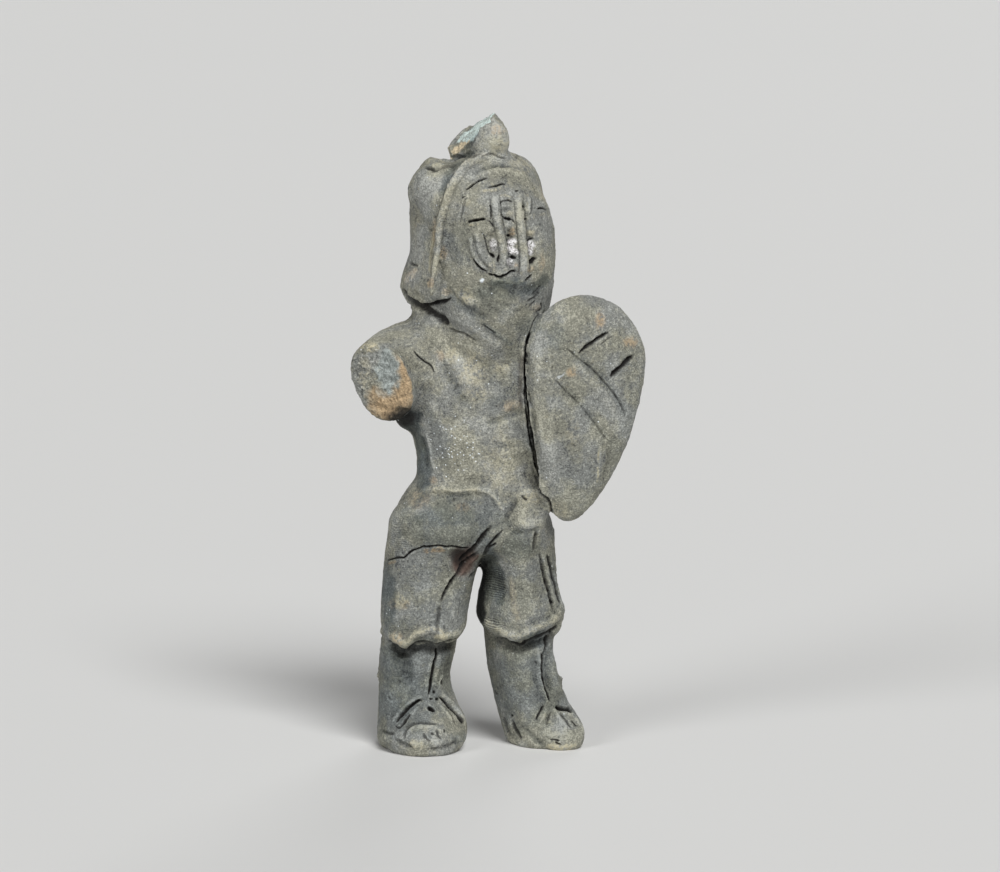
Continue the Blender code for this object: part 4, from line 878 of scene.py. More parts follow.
def all_marks():
    """Every mark, in the order in which they are worked. A mark's number sets its waver."""
    for group in (
        neck_marks, helmet_marks, grille_marks, torso_marks, hip_marks,
        right_leg_marks, left_leg_marks, shield_marks, small_wear_marks, back_marks,
        right_side_marks, left_side_marks,
    ):
        yield from group()


# Patches of colour that belong to no mark, by tone: across, up, half width, half height
# and strength. The smoke patches are smoke stains and painted shade, the worn ones wear and painted
# highlight, and the dirt ones painted shadow under the sword arm.
PATCHES = {
    "paste": (
        (-19.6, 72.9, 2.8, 9, 1), (-21.8, 68.7, 5, 3.6, 1), (-24.6, 70.5, 2.2, 2.4, 0.8),
    ),
    "buff": (
        (-26.4, 80.3, 2.4, 1.2, 1), (-27.2, 75.3, 1.6, 3.4, 0.5), (14.6, 63.3, 1.6, 3, 0.5),
        (-7, 90.5, 2.4, 2, 0.8), (0, 90.9, 2, 1.4, 0.35), (-9.6, 78.9, 1.6, 2.6, 0.6),
        (-5.2, 75.3, 3.4, 4.6, 0.7), (0.4, 76.1, 2, 1.6, 0.55), (-4.4, 71.3, 2.6, 2.4, 0.6),
        (-13, 51.7, 3, 1.4, 0.6), (6, 50.1, 3, 2, 0.5), (0, 57.7, 3.6, 8, 0.3),
        (-20, 29.5, 2.2, 1.8, 0.75), (0, 120.7, 2, 2.2, 0.4), (4, 116.7, 3, 2, 0.5),
        (12, 47.7, 2.4, 2, 0.5),
    ),
    "core": (
        (-22.4, 75.5, 2.7, 5.3, 1.3),
    ),
    "worn": (
        (-3.6, 123.3, 3, 4, 0.6), (-1.2, 122.1, 5.4, 5.4, 1.5), (-14.4, 106.7, 2.4, 7, 0.45),
        (-16, 111.7, 1.6, 3, 0.4), (-20.4, 9.7, 2.4, 3, 0.7), (-20, 2.7, 3, 1.6, 0.6),
        (-14.6, 37.7, 4.4, 2.2, 0.45), (-22.4, 41.7, 1.6, 4, 0.4), (1, 54.1, 6, 3, 0.7),
        (6.6, 47.7, 4.4, 3.4, 0.5), (-10, 53.5, 6.4, 1.6, 0.7), (-15, 68.7, 3, 4, 0.5),
        (-6, 63.7, 6, 4, 0.5), (-14, 111.7, 3.4, 5, 0.5), (-15, 101.7, 2.4, 4.4, 0.5),
        (-9, 106.7, 2.2, 6, 0.7), (-10.4, 89.7, 3.4, 1.6, 0.5), (22, 80.7, 4.4, 6, 0.5),
        (17, 61.7, 3.4, 4.4, 0.5), (25, 72.7, 3, 5, 0.4), (10, 59.7, 1.6, 6, 0.5),
        (0, 35.3, 1.6, 2.6, 0.5), (3, 11.7, 4.4, 3, 0.5), (6, 18.7, 3, 2, 0.3),
        (-25.6, 78.7, 3, 3, 0.8), (-6, 81.7, 6, 2.4, 0.3), (-20, 29.7, 3.4, 3, 0.5),
        (-14, 31.7, 3, 4, 0.25), (1, 58.7, 5, 9, 0.35), (12, 2.7, 5, 2.6, 0.5),
        (-15, 2.1, 4.4, 2.4, 0.4), (-7.6, 61.7, 5, 5, 0.3),
    ),
    "smoke": (
        (6, 84.7, 3.6, 2.4, 0.5), (-18.8, 65.3, 3.4, 3.4, 1.4), (-11, 46.3, 9, 3, 0.8),
        (3.2, 40.7, 5, 4.4, 0.7), (-22.2, 29.7, 1.8, 9, 0.9), (5, 29.7, 3, 3, 0.4),
        (-20, 33.7, 3, 2.4, 0.4), (-22.4, 17.7, 2, 5, 0.8), (11.2, 82.7, 2.4, 5, 0.5),
        (0, 69.3, 3, 2.4, 0.4), (1, 93.1, 5, 1.4, 0.9), (-16.4, 58.7, 1.8, 6, 1.2),
        (0, 91.3, 9, 1.8, 0.7), (-11.6, 60.1, 2.4, 4, 0.4), (-6, 42.7, 5, 2.4, 0.4),
        (-10, 45.7, 9, 3.6, 0.5), (-17.6, 43.7, 3.4, 3.2, 0.4), (-20, 11.7, 6, 9, 0.8),
        (-10.6, 15.7, 3, 7, 0.6), (3, 16.1, 6, 7, 0.5), (1.6, 11.7, 4, 6, 0.4),
        (-16.4, 18.7, 4, 2, 0.6), (-19, 24.7, 4, 2, 0.5), (-20, 17.5, 3, 4, 0.9),
        (7, 21.7, 4, 2.6, 0.9), (0, 29.7, 3.2, 8, 0.5), (-2, 35.3, 2.4, 8, 0.9),
        (-2.6, 40.7, 3, 4, 0.4), (-15.2, 55.7, 2, 8, 0.9), (-18, 63.7, 3, 3.4, 0.9),
        (-15, 21.7, 3, 1.2, 0.6), (-7.6, 100.7, 4, 5, 0.35), (-14, 102.7, 2, 8, 0.25),
        (-1, 88.7, 5, 2.4, 0.4), (-21, 42.7, 1.6, 5, 0.3), (6, 5.7, 3, 3, 0.4),
        (-8, 2.1, 2.6, 1.6, 0.5), (23, 59.7, 2, 4, 0.4), (16.4, 52.5, 7, 7, 0.3),
        (-20, 11.7, 12, 13, 0.64), (-15, 31.7, 14, 10, 0.36), (6, 13.7, 12, 12, 0.62),
        (7, 31.7, 10, 10, 0.33), (-9, 44.7, 14, 8, 0.64), (19, 69.7, 15, 24, 0.16),
        (26.4, 69.7, 4, 16, 0.3), (-16, 4.7, 10, 5, 0.2), (12, 4.7, 9, 5, 0.25),
        (4, 70.7, 6, 12, 0.2), (12, 79.7, 5, 8, 0.2),
    ),
    "dirt": (
        (-19.6, 66.1, 3.6, 2.6, 0.9), (-17.6, 64.1, 1.6, 2.4, 0.35),
    ),
    "orange": (
        (20, 85.7, 1, 2, 0.9), (26, 81.3, 1.6, 1.2, 0.8), (14.4, 75.3, 1.2, 1.2, 0.8),
        (-11.8, 78.5, 1, 1.4, 0.5), (1.4, 68.5, 2, 1.2, 0.55), (-13.6, 53.7, 1, 0.8, 0.7),
        (-16, 49.7, 2.4, 2.4, 0.35), (-7.6, 48.3, 1.6, 1.2, 0.45), (-19, 28.7, 1.4, 1.2, 0.25),
        (-20.4, 22.1, 1.6, 1.4, 0.5), (-21.6, 28.9, 1.2, 1.4, 0.3), (9, 111.7, 1, 2.4, 0.5),
        (-11.4, 99.1, 0.9, 1.4, 0.6), (-13.2, 103.3, 0.7, 2.6, 0.5), (-13.8, 93.1, 1, 1.2, 0.6),
        (8.2, 97.3, 0.8, 2, 0.5), (-10.8, 91.3, 1.2, 0.9, 0.5),
    ),
    "mica": (
        (-7.6, 59.3, 4.6, 4.6, 1), (-11, 55.7, 3, 2, 0.8), (8, 76.7, 2, 4, 0.5),
        (-9, 60.7, 5, 6, 0.9), (-6, 73.7, 9, 9, 0.12),
    ),
    "prints": (
        (-1, 33.1, 2.6, 3.8, 1), (-1.8, 24.5, 2.8, 2.2, 1), (-20.4, 42.1, 2.6, 5, 0.3),
    ),
}

# Lines along which the solid's own coarse cuts are evened out: how wide, in millimetres, and
# the places along them.
EVENED = (
    (21, 1.4, 109.7, 2.2, 97.3),
    (6, -4.8, 106.1, 8, 105.3),
    (5, -7.6, 111.3, 1, 114.7),
    (4.6, -23.2, 37.1, -17.6, 39.5, -12, 40.5, -4.4, 39.9),
    (5.5, 0.6, 47.3, -4.4, 40.7, -9, 34.7, -12, 28.1),
    (4, -6, 86.5, -2.6, 84.5, 3, 80.1),
    (4, -20.4, 91.5, -14, 87.3, -8, 82.9, -3, 80.7),
    (9, 7.2, 88.7, 4.4, 82.7, 3.6, 74.7, 4.4, 65.3, 7, 54.7, 9.6, 46.9),
    (4.6, 12, 80.9, 16, 78.1, 21.2, 73.1, 24.8, 66.7),
    (4.6, 10, 74.7, 16, 68.7, 21.6, 61.3),
    (4, 15.4, 78.5, 22.4, 83.7),
    (4, 21.6, 73.7, 27.2, 79.3),
    (4, -12.8, 20.7, -14.2, 9.7),
    (4, -14, 9.7, -21.6, 4.5),
    (4, -14, 9.7, -6.4, 3.7),
    (4.4, 10.6, 24.1, 8.8, 17.7, 9, 10.7, 12, 3.7),
    (3.6, 9, 8.9, 7.2, 4.1),
    (3.6, 10.6, 5.3, 14.8, 4.1),
    (4.4, 7.6, 44.1, 7.4, 37.7, 9.6, 29.7, 10.6, 25.3),
    (3.6, 1.6, 43.7, 6, 42.5, 9.6, 44.1),
)
# How often the skin is evened out there.
EVENING_PASSES = 45

# Each break: a point on it, its outward direction, its reach, and how high its lumps and tears are.
BREAKS = (
    ((-23.4, -10.3, 73.8), (-0.32, -0.93, -0.18), 9.5, 0.42, 0.22),
    ((-5.0, -1.3, 123.1), (-0.655, -0.05, 0.755), 10.0, 0.26, 0.14),
    ((-0.5, -6.0, 125.9), (0.66, -0.15, 0.73), 5.0, 0.12, 0.08),
    ((-5.8, 0.6, 122.5), (-0.833, -0.207, 0.511), 7.0, 0.20, 0.12),
    ((-8.3, 2.4, 119.6), (-0.891, -0.361, 0.274), 4.2, 0.16, 0.10),
)

# What the skin notes at each of its points, for the clay's colour.
TONES = (
    "dirt", "buff", "orange", "peach", "smoke", "core", "chalk", "rust", "mica", "prints", "sky",
    "worn", "torn", "paste", "pale_core", "hollow", "pit", "ridge",
)
# Tones that only a break shows.
BREAK_TONES = ("core", "pale_core", "peach", "paste")
MOST_TRIANGLES = 199000

# Rays over the half sphere above each point, and how far they feel for clay, in millimetres.
FEELERS = 22
FEEL_REACH = 4.0
GOLDEN_ANGLE = math.pi * (3.0 - math.sqrt(5.0))

# The spacing of the skin's points in millimetres: the closest at a mark that shows, the closest at
# the plainer marks of a hidden side, at a break, and where the skin is plain.
FINEST = 0.222
SIDE_SPACING = 0.5
BREAK_SPACING = 0.24
COARSEST = 0.9
# How much wider the spacing may be for each millimetre away from a mark.
SPREAD = 0.45
# An edge is split when it is this many times longer than it may be, in at most so many rounds.
LONG = 1.35
SPLIT_ROUNDS = 3

# How squarely a point has to face a side to begin to show on it, and to show fully.
FACING = (0.04, 0.30)
# A ray to the viewer starts off the skin and a little towards the viewer, in millimetres.
OFF_SKIN = 0.4
TOWARDS_VIEWER = 0.3
SIGHT_LENGTH = 200.0

# Sizes of the unevenness that hands leave, in millimetres: slow dents, lumps and fine grain.
DENTS, LUMPS, GRAIN = 9.0, 2.6, 0.7
# Sizes of the lumps and tears at a break, and of the tatters at a patch's edge, in millimetres.
BREAK_LUMPS, BREAK_TEARS, RAGGED = 1.9, 0.6, 1.6
# How far the skin lies below or above its evened copy where it counts as a little and wholly so.
RELIEF = (0.02, 0.16)
RELIEF_PASSES = 14
# How closed in a point is by the clay round it where it begins to be a hollow, and is wholly one.
CLOSED = (0.04, 0.75)
# A feeler nearly along the skin is left out, and each starts just off it, in millimetres.
GRAZING = 0.2
FEELER_START = 0.08

# The view that the marks were measured in: its distance, height angle, aim and the height that
# counts as the sheet's middle, in millimetres.
CAMERA_DISTANCE = 900.0
CAMERA_RISE = math.radians(8.0)
CAMERA_AIM = (0.4, 0.0, 62.3)
SHEET_MIDDLE = 62.5


def smoothstep(low, high, values):
    """0 below low, 1 above high, and a smooth rise between them."""
    rise = np.clip((values - low) / (high - low), 0.0, 1.0)
    return rise * rise * (3.0 - 2.0 * rise)


def line_through(places, spacing=0.35):
    """A smooth line through the places, as close points."""
    corners = np.array(places, dtype=float)
    ends = np.vstack([2 * corners[0] - corners[1], corners, 2 * corners[-1] - corners[-2]])
    points = []
    for before, start, end, after in zip(ends, ends[1:], ends[2:], ends[3:]):
        steps = max(1, math.ceil(np.linalg.norm(end - start) / spacing))
        t = np.linspace(0.0, 1.0, steps, endpoint=False)[:, None]
        bend = 2 * before - 5 * start + 4 * end - after
        twist = 3 * start - before - 3 * end + after
        points.append(start + 0.5 * ((end - before) * t + bend * t**2 + twist * t**3))
    points.append(corners[-1:])
    return np.vstack(points)


def nearest_on(line, points):
    """How far each point is from the line, and how far along the line, in millimetres."""
    start = line[:-1]
    step = np.diff(line, axis=0)
    length = np.linalg.norm(step, axis=1)
    reach = points[:, None] - start
    share = np.clip((reach * step).sum(2) / length**2, 0.0, 1.0)
    gap = np.linalg.norm(reach - share[..., None] * step, axis=2)
    best = gap.argmin(1)
    rows = np.arange(len(points))
    so_far = np.concatenate([[0.0], np.cumsum(length)])
    return gap[rows, best], so_far[best] + share[rows, best] * length[best], so_far[-1]


# How strongly a stroke's width, depth and lip waver along it, and how often.
WIDTH_WAVER = (0.22, 1.9)
DEPTH_WAVER = (0.25, 1.3)
LIP_WAVER = (0.5, 2.1)


def waver(along, seed, strength, pace):
    """What a stroke's size is multiplied by along it, as an uneven wave about 1."""
    phase = seed * 2.399
    wave = 0.6 * np.sin(along * pace + phase) + 0.4 * np.sin(along * pace * 2.3 + phase * 1.7)
    return 1.0 + strength * wave


def feel_stroke(stroke, places, seed):
    """How far a stroke pushes the clay at each place (outwards, mm), and how strong its tone is."""
    gap, along, length = nearest_on(line_through(stroke.line), places)
    half = stroke.width / 2 * waver(along, seed, *WIDTH_WAVER)
    run = max(stroke.taper, 0.02) * length
    ends = smoothstep(-0.02, run, along) * smoothstep(-0.02, run, length - along)
    half = half * (0.45 + 0.55 * ends)
    bed = 1.0 - smoothstep(0.15, 1.0, gap / half)
    push = -stroke.depth * bed * ends * waver(along, seed + 5, *DEPTH_WAVER)
    rim = np.exp(-(((gap - 1.45 * half) / (0.5 * half)) ** 2))
    push = push + stroke.lip * rim * ends * waver(along, seed + 9, *LIP_WAVER)
    strength = (1.0 - smoothstep(0.45, 1.05, gap / half)) * smoothstep(0.0, 0.4, ends)
    return push, strength


def feel_spot(spot, places, seed):
    """The same for a lump or hollow."""
    turn = math.radians(spot.turn)
    reach = places - np.array(spot.place)
    across = reach[:, 0] * math.cos(turn) + reach[:, 1] * math.sin(turn)
    along = reach[:, 1] * math.cos(turn) - reach[:, 0] * math.sin(turn)
    angle = np.arctan2(along, across)
    edge = 1.0 + 0.10 * np.sin(2 * angle + seed) + 0.07 * np.sin(3 * angle + 2 * seed)
    gap = np.hypot(across / spot.reach[0], along / spot.reach[1]) / edge
    return -spot.depth * (1.0 - smoothstep(0.1, 1.0, gap)), 1.0 - smoothstep(0.5, 1.05, gap)


def mark_extent(mark):
    """The lowest and highest places that a mark can reach, and how fine the skin has to be there."""
    if isinstance(mark, Stroke):
        line = np.array(mark.line)
        reach = mark.width * 1.7
        finest = mark.width * (0.36 if mark.depth > 0 else 0.5)
        return line.min(0) - reach, line.max(0) + reach, finest
    place = np.array(mark.place)
    reach = max(mark.reach) * 1.3
    return place - reach, place + reach, min(mark.reach) * 0.36


class Sheet:
    """A side that the figure is seen from, as an upright sheet that its points fall on."""

    def __init__(self, towards, up, eye=None):
        self.towards = np.array(towards)
        self.up = np.array(up)
        self.across = np.cross(self.towards, self.up)
        self.eye = None if eye is None else np.array(eye)

    def look(self, points, normals, tree):
        """Where the points fall on the sheet, and how well each is seen, from 0 to 1."""
        if self.eye is None:
            lines = np.broadcast_to(self.towards, points.shape)
            places = np.column_stack([points @ self.across, points @ self.up])
        else:
            reach = points - self.eye
            lines = unit(reach)
            scale = CAMERA_DISTANCE / (reach @ self.towards)
            places = np.column_stack([reach @ self.across, reach @ self.up]) * scale[:, None]
            places[:, 1] += SHEET_MIDDLE
        seen = smoothstep(*FACING, -(normals * lines).sum(1))
        for index in np.flatnonzero(seen):
            start = points[index] + normals[index] * OFF_SKIN - lines[index] * TOWARDS_VIEWER
            if tree.ray_cast(Vector(start), Vector(-lines[index]), SIGHT_LENGTH)[0] is not None:
                seen[index] = 0.0
        return places, seen


def front_sheet():
    """The sheet that the camera sees the figure on."""
    towards = np.array((0.0, math.cos(CAMERA_RISE), -math.sin(CAMERA_RISE)))
    up = (0.0, math.sin(CAMERA_RISE), math.cos(CAMERA_RISE))
    return Sheet(towards, up, np.array(CAMERA_AIM) - CAMERA_DISTANCE * towards)


SHEETS = {
    "front": front_sheet(),
    "back": Sheet((0.0, -1.0, 0.0), (0.0, 0.0, 1.0)),
    "right": Sheet((1.0, 0.0, 0.0), (0.0, 0.0, 1.0)),
    "left": Sheet((-1.0, 0.0, 0.0), (0.0, 0.0, 1.0)),
}


class Skin:
    """The clay's skin: its points in millimetres, their neighbours and their tones."""

    def __init__(self, mesh):
        self.mesh = mesh
        count = len(mesh.vertices)
        self.points = np.empty(count * 3)
        mesh.vertices.foreach_get("co", self.points)
        self.points = self.points.reshape(-1, 3) / MM
        self.edges = np.empty(len(mesh.edges) * 2, dtype=np.int32)
        mesh.edges.foreach_get("vertices", self.edges)
        self.edges = self.edges.reshape(-1, 2)
        self.faces = np.empty(len(mesh.polygons) * 3, dtype=np.int32)
        mesh.polygons.foreach_get("vertices", self.faces)
        self.faces = self.faces.reshape(-1, 3)
        self.neighbours = np.bincount(self.edges.ravel(), minlength=count)
        self.tones = {name: np.zeros(count) for name in TONES}

    def mean(self, values):
        """The mean of each point's neighbours."""
        first, second = self.edges.T
        total = np.zeros_like(values)
        for column in range(values.shape[1]):
            total[:, column] = np.bincount(first, values[second, column], len(values))
            total[:, column] += np.bincount(second, values[first, column], len(values))
        return total / self.neighbours[:, None]

    def normals(self, passes=0):
        """The points' outward directions, evened out over the neighbours."""
        a, b, c = (self.points[self.faces[:, corner]] for corner in range(3))
        flat = np.cross(b - a, c - a)
        total = np.zeros_like(self.points)
        for corner in range(3):
            for axis in range(3):
                total[:, axis] += np.bincount(
                    self.faces[:, corner], flat[:, axis], len(self.points)
                )
        total = unit(total)
        for _ in range(passes):
            total = unit(0.5 * total + 0.5 * self.mean(total))
        return total

    def relax(self, passes, where=None, pull=0.5, push=-0.52):
        """Evens the skin out, without letting it shrink."""
        amount = 1.0 if where is None else where[:, None]
        for _ in range(passes):
            for step in (pull, push):
                if step:
                    self.points += step * amount * (self.mean(self.points) - self.points)

    def tree(self):
        """The skin as something that rays can meet."""
        return BVHTree.FromPolygons(self.points.tolist(), self.faces.tolist())

    def save(self):
        """Writes the points and tones back to the mesh."""
        self.mesh.vertices.foreach_set("co", (self.points * MM).ravel())
        for name, values in self.tones.items():
            layer = self.mesh.attributes.get(name)
            layer = layer or self.mesh.attributes.new(name, "FLOAT", "POINT")
            layer.data.foreach_set("value", values)
        self.mesh.update()


def keep_to_solid_box(skin):
    """Sets the soles flat on the floor, and keeps the lumps inside the solid's box."""
    low, high = (np.array(corner) / MM for corner in SOLID_BOX)
    skin.points = np.clip(skin.points, low, high)


def rough_skin(settings):
    """A closed, even copy of the solid's surface, made of small triangles."""
    bpy.ops.object.select_all(action="DESELECT")
    figure = bpy.data.objects.new(FIGURE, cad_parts[NODE].data.copy())
    bpy.context.scene.collection.objects.link(figure)
    bpy.context.view_layer.objects.active = figure
    figure.select_set(True)
    bpy.ops.object.mode_set(mode="EDIT")
    bpy.ops.mesh.select_all(action="SELECT")
    bpy.ops.mesh.remove_doubles(threshold=0.01 * MM)
    bpy.ops.object.mode_set(mode="OBJECT")
    remesh = figure.modifiers.new("Skin", "REMESH")
    remesh.mode = "VOXEL"
    remesh.voxel_size = settings.grain
    bpy.ops.object.modifier_apply(modifier=remesh.name)
    triangles = figure.modifiers.new("Triangles", "TRIANGULATE")
    bpy.ops.object.modifier_apply(modifier=triangles.name)
    figure.data.name = FIGURE
    figure.data.materials.clear()
    bpy.ops.object.shade_smooth()
    return figure


def see(skin):
    """Where the skin's points fall on each sheet, and how well they show."""
    normals = skin.normals(passes=3)
    tree = skin.tree()
    views = {name: sheet.look(skin.points, normals, tree) for name, sheet in SHEETS.items()}
    hidden = 1.0 - smoothstep(0.0, 0.25, views["front"][1])
    for name in ("back", "right", "left"):
        places, seen = views[name]
        views[name] = (places, seen * hidden)
    return views


def points_between(view, low, high, least=0.0):
    """The points that fall between two places of a sheet, and are seen better than the least."""
    places, seen = view
    return np.flatnonzero(((places > low) & (places < high)).all(1) & (seen > least))


def even_out(skin, views):
    """Smooths away the solid's coarse cuts where fine ones are made instead."""
    places, seen = views["front"]
    weight = np.zeros(len(skin.points))
    for width, *numbers in EVENED:
        line = pairs(numbers)
        near = points_between(views["front"], np.min(line, 0) - width, np.max(line, 0) + width)
        if len(near):
            gap = nearest_on(line_through(line, 1.0), places[near])[0]
            even = 1.0 - smoothstep(0.3, 1.0, gap / width * 2.0)
            weight[near] = np.maximum(weight[near], even * smoothstep(0.0, 0.4, seen[near]))
    skin.relax(EVENING_PASSES, weight, push=0.0)


def roughen_breaks(skin):
    """The breaks of the sword arm and the crest: torn clay that shows its core."""
    for point, outward, reach, coarse, fine in BREAKS:
        outward = unit(np.array(outward))
        from_middle = skin.points - np.array(point)
        radius = np.linalg.norm(from_middle, axis=1)
        inside = 1.0 - smoothstep(reach - 1.0, reach, radius)
        beyond = np.maximum(from_middle @ outward, 0.0) * inside
        skin.points -= beyond[:, None] * outward
        level = np.abs(from_middle @ outward - beyond)
        torn = (1.0 - smoothstep(0.45, 0.9, level)) * (1.0 - smoothstep(reach - 1.5, reach, radius))
        near = np.flatnonzero(torn)
        lumps = layered_noise(skin.points[near], BREAK_LUMPS, 31, 3)
        tears = layered_noise(skin.points[near] * (1.0, 1.0, 0.5), BREAK_TEARS, 32, 2)
        height = coarse * lumps + fine * (1.0 - 2.0 * np.abs(tears))
        skin.points[near] += (torn[near] * height)[:, None] * outward
        skin.tones["torn"] = np.maximum(skin.tones["torn"], torn)


def wanted_spacing(skin, views):
    """How far apart the skin's points may be: close at the marks, wide where it is plain."""
    spacing = np.full(len(skin.points), COARSEST)
    for mark in all_marks():
        places = views[mark.sight][0]
        low, high, step = mark_extent(mark)
        near = points_between(views[mark.sight], low - 1.0, high + 1.0, 0.05)
        if not len(near):
            continue
        if isinstance(mark, Stroke):
            gap = nearest_on(line_through(mark.line, 0.8), places[near])[0] - mark.width * 0.6
        else:
            gap = np.linalg.norm(places[near] - np.array(mark.place), axis=1) - max(mark.reach)
        step = max(step, FINEST if mark.sight == "front" else SIDE_SPACING)
        spacing[near] = np.minimum(spacing[near], step + SPREAD * np.maximum(gap, 0.0))
    for point, outward, reach, _, _ in BREAKS:
        from_middle = skin.points - np.array(point)
        level = from_middle @ unit(np.array(outward))
        inside = (level > -0.8) & (np.linalg.norm(from_middle, axis=1) < reach)
        spacing[inside] = np.minimum(spacing[inside], BREAK_SPACING)
    return spacing


def refine(figure):
    """Splits the skin's long edges where a mark asks for closer points."""
    for _ in range(SPLIT_ROUNDS):
        skin = Skin(figure.data)
        spacing = wanted_spacing(skin, see(skin))
        first, second = skin.edges.T
        length = np.linalg.norm(skin.points[first] - skin.points[second], axis=1)
        long = np.flatnonzero(length > LONG * np.minimum(spacing[first], spacing[second]))
        if not len(long):
            break
        skin_bmesh = bmesh.new()
        skin_bmesh.from_mesh(figure.data)
        skin_bmesh.edges.ensure_lookup_table()
        bmesh.ops.subdivide_edges(
            skin_bmesh, edges=[skin_bmesh.edges[index] for index in long], cuts=1
        )
        bmesh.ops.triangulate(
            skin_bmesh, faces=[face for face in skin_bmesh.faces if len(face.verts) > 3]
        )
        skin_bmesh.to_mesh(figure.data)
        skin_bmesh.free()


def layered_noise(points, size, seed, layers=3):
    """Smooth noise of about -1 to 1 that changes over the given size, in millimetres."""
    shift = Vector((seed * 7.1, seed * 3.7, seed * 5.3))
    return np.array([
        noise.fractal(Vector(point) / size + shift, 1.0, 2.0, layers) for point in points
    ])


def work_unevenness(skin, normals, settings):
    """The dents and lumps that hands leave on clay."""
    slow = layered_noise(skin.points, DENTS, 1, 2)
    middle = layered_noise(skin.points, LUMPS, 2, 2)
    fine = layered_noise(skin.points, GRAIN, 3, 2)
    height = settings.unevenness / MM
    grain = settings.roughness_height / MM
    skin.points += normals * (slow * height + middle * height * 0.35 + fine * grain)[:, None]


def press_marks(skin, normals, views):
    """Cuts and lays on every mark, and gives the clay its tone there."""
    push, lift = np.zeros(len(skin.points)), np.zeros(len(skin.points))
    for seed, mark in enumerate(all_marks()):
        places, seen = views[mark.sight]
        low, high, _ = mark_extent(mark)
        near = points_between(views[mark.sight], low, high)
        if not len(near):
            continue
        feel = feel_stroke if isinstance(mark, Stroke) else feel_spot
        moved, strength = feel(mark, places[near], seed)
        if isinstance(mark, Stroke) and mark.straight:
            lift[near] += moved * seen[near]
        else:
            push[near] += moved * seen[near]
        for tone, amount in mark.tones.items():
            laid = np.minimum(strength * seen[near] * amount, 2.0)
            if tone in BREAK_TONES:
                laid = laid * skin.tones["torn"][near]
            skin.tones[tone][near] = np.maximum(skin.tones[tone][near], laid)
    skin.points += normals * push[:, None] - SHEETS["front"].towards * lift[:, None]


def lay_patches(skin, views):
    """Patches of colour with ragged edges."""
    places, seen = views["front"]
    ragged = layered_noise(skin.points, RAGGED, 11, 3)
    patches = [(tone, *row) for tone, rows in PATCHES.items() for row in rows]
    for tone, across, up, half_width, half_height, amount in patches:
        gap = np.linalg.norm((places - (across, up)) / (half_width, half_height), axis=1)
        strength = (1.0 - smoothstep(0.45, 1.15, gap + 0.3 * ragged)) * amount
        if tone in BREAK_TONES:
            strength = np.minimum(strength, 1.0) * skin.tones["torn"]
        skin.tones[tone] = np.maximum(skin.tones[tone], strength * smoothstep(0.0, 0.3, seen))


def read_relief(skin):
    """Notes how hollow or proud each point is, and how closed in by the clay round it."""
    normals = skin.normals(passes=1)
    level = skin.points.copy()
    for _ in range(RELIEF_PASSES):
        level += 0.5 * (skin.mean(level) - level)
    height = ((skin.points - level) * normals).sum(1)
    skin.tones["pit"] = smoothstep(*RELIEF, -height)
    skin.tones["ridge"] = smoothstep(*RELIEF, height)
    tree = skin.tree()
    steps = np.arange(FEELERS) + 0.5
    turn = steps * GOLDEN_ANGLE
    rise = 1.0 - 2.0 * steps / FEELERS
    flat = np.sqrt(1.0 - rise**2)
    feelers = np.column_stack([flat * np.cos(turn), flat * np.sin(turn), rise])
    lines = [Vector(feeler) for feeler in feelers]
    facing = normals @ feelers.T
    closed = np.zeros(len(skin.points))
    for index, (point, normal) in enumerate(zip(skin.points, normals)):
        start = Vector(point + FEELER_START * normal)
        for number in np.flatnonzero(facing[index] > GRAZING):
            gap = tree.ray_cast(start, lines[number], FEEL_REACH)[3]
            if gap is not None:
                closed[index] += facing[index, number] * (1.0 - gap / FEEL_REACH)
    closed /= (facing * (facing > GRAZING)).sum(1)
    closed = closed[:, None]
    for _ in range(2):
        closed = 0.5 * closed + 0.5 * skin.mean(closed)
    skin.tones["hollow"] = smoothstep(*CLOSED, closed[:, 0])


class Inlet:
    """An output of a material's nodes that can be added, taken away and multiplied."""

    def __init__(self, finish, socket):
        self.finish = finish
        self.socket = socket

    def __add__(self, other):
        return self.finish.maths("ADD", self, other)

    def __radd__(self, other):
        return self.finish.maths("ADD", other, self)

    def __sub__(self, other):
        return self.finish.maths("SUBTRACT", self, other)

    def __rsub__(self, other):
        return self.finish.maths("SUBTRACT", other, self)

    def __mul__(self, other):
        return self.finish.maths("MULTIPLY", self, other)

    def __rmul__(self, other):
        return self.finish.maths("MULTIPLY", other, self)

    def beside(self, name):
        """Another output of the same node."""
        return Inlet(self.finish, self.socket.node.outputs[name])


# Where a Mix node that is set to colours has its share, its two colours and its result.
MIX_SHARE, MIX_BELOW, MIX_ABOVE, MIX_RESULT = 0, 6, 7, 2


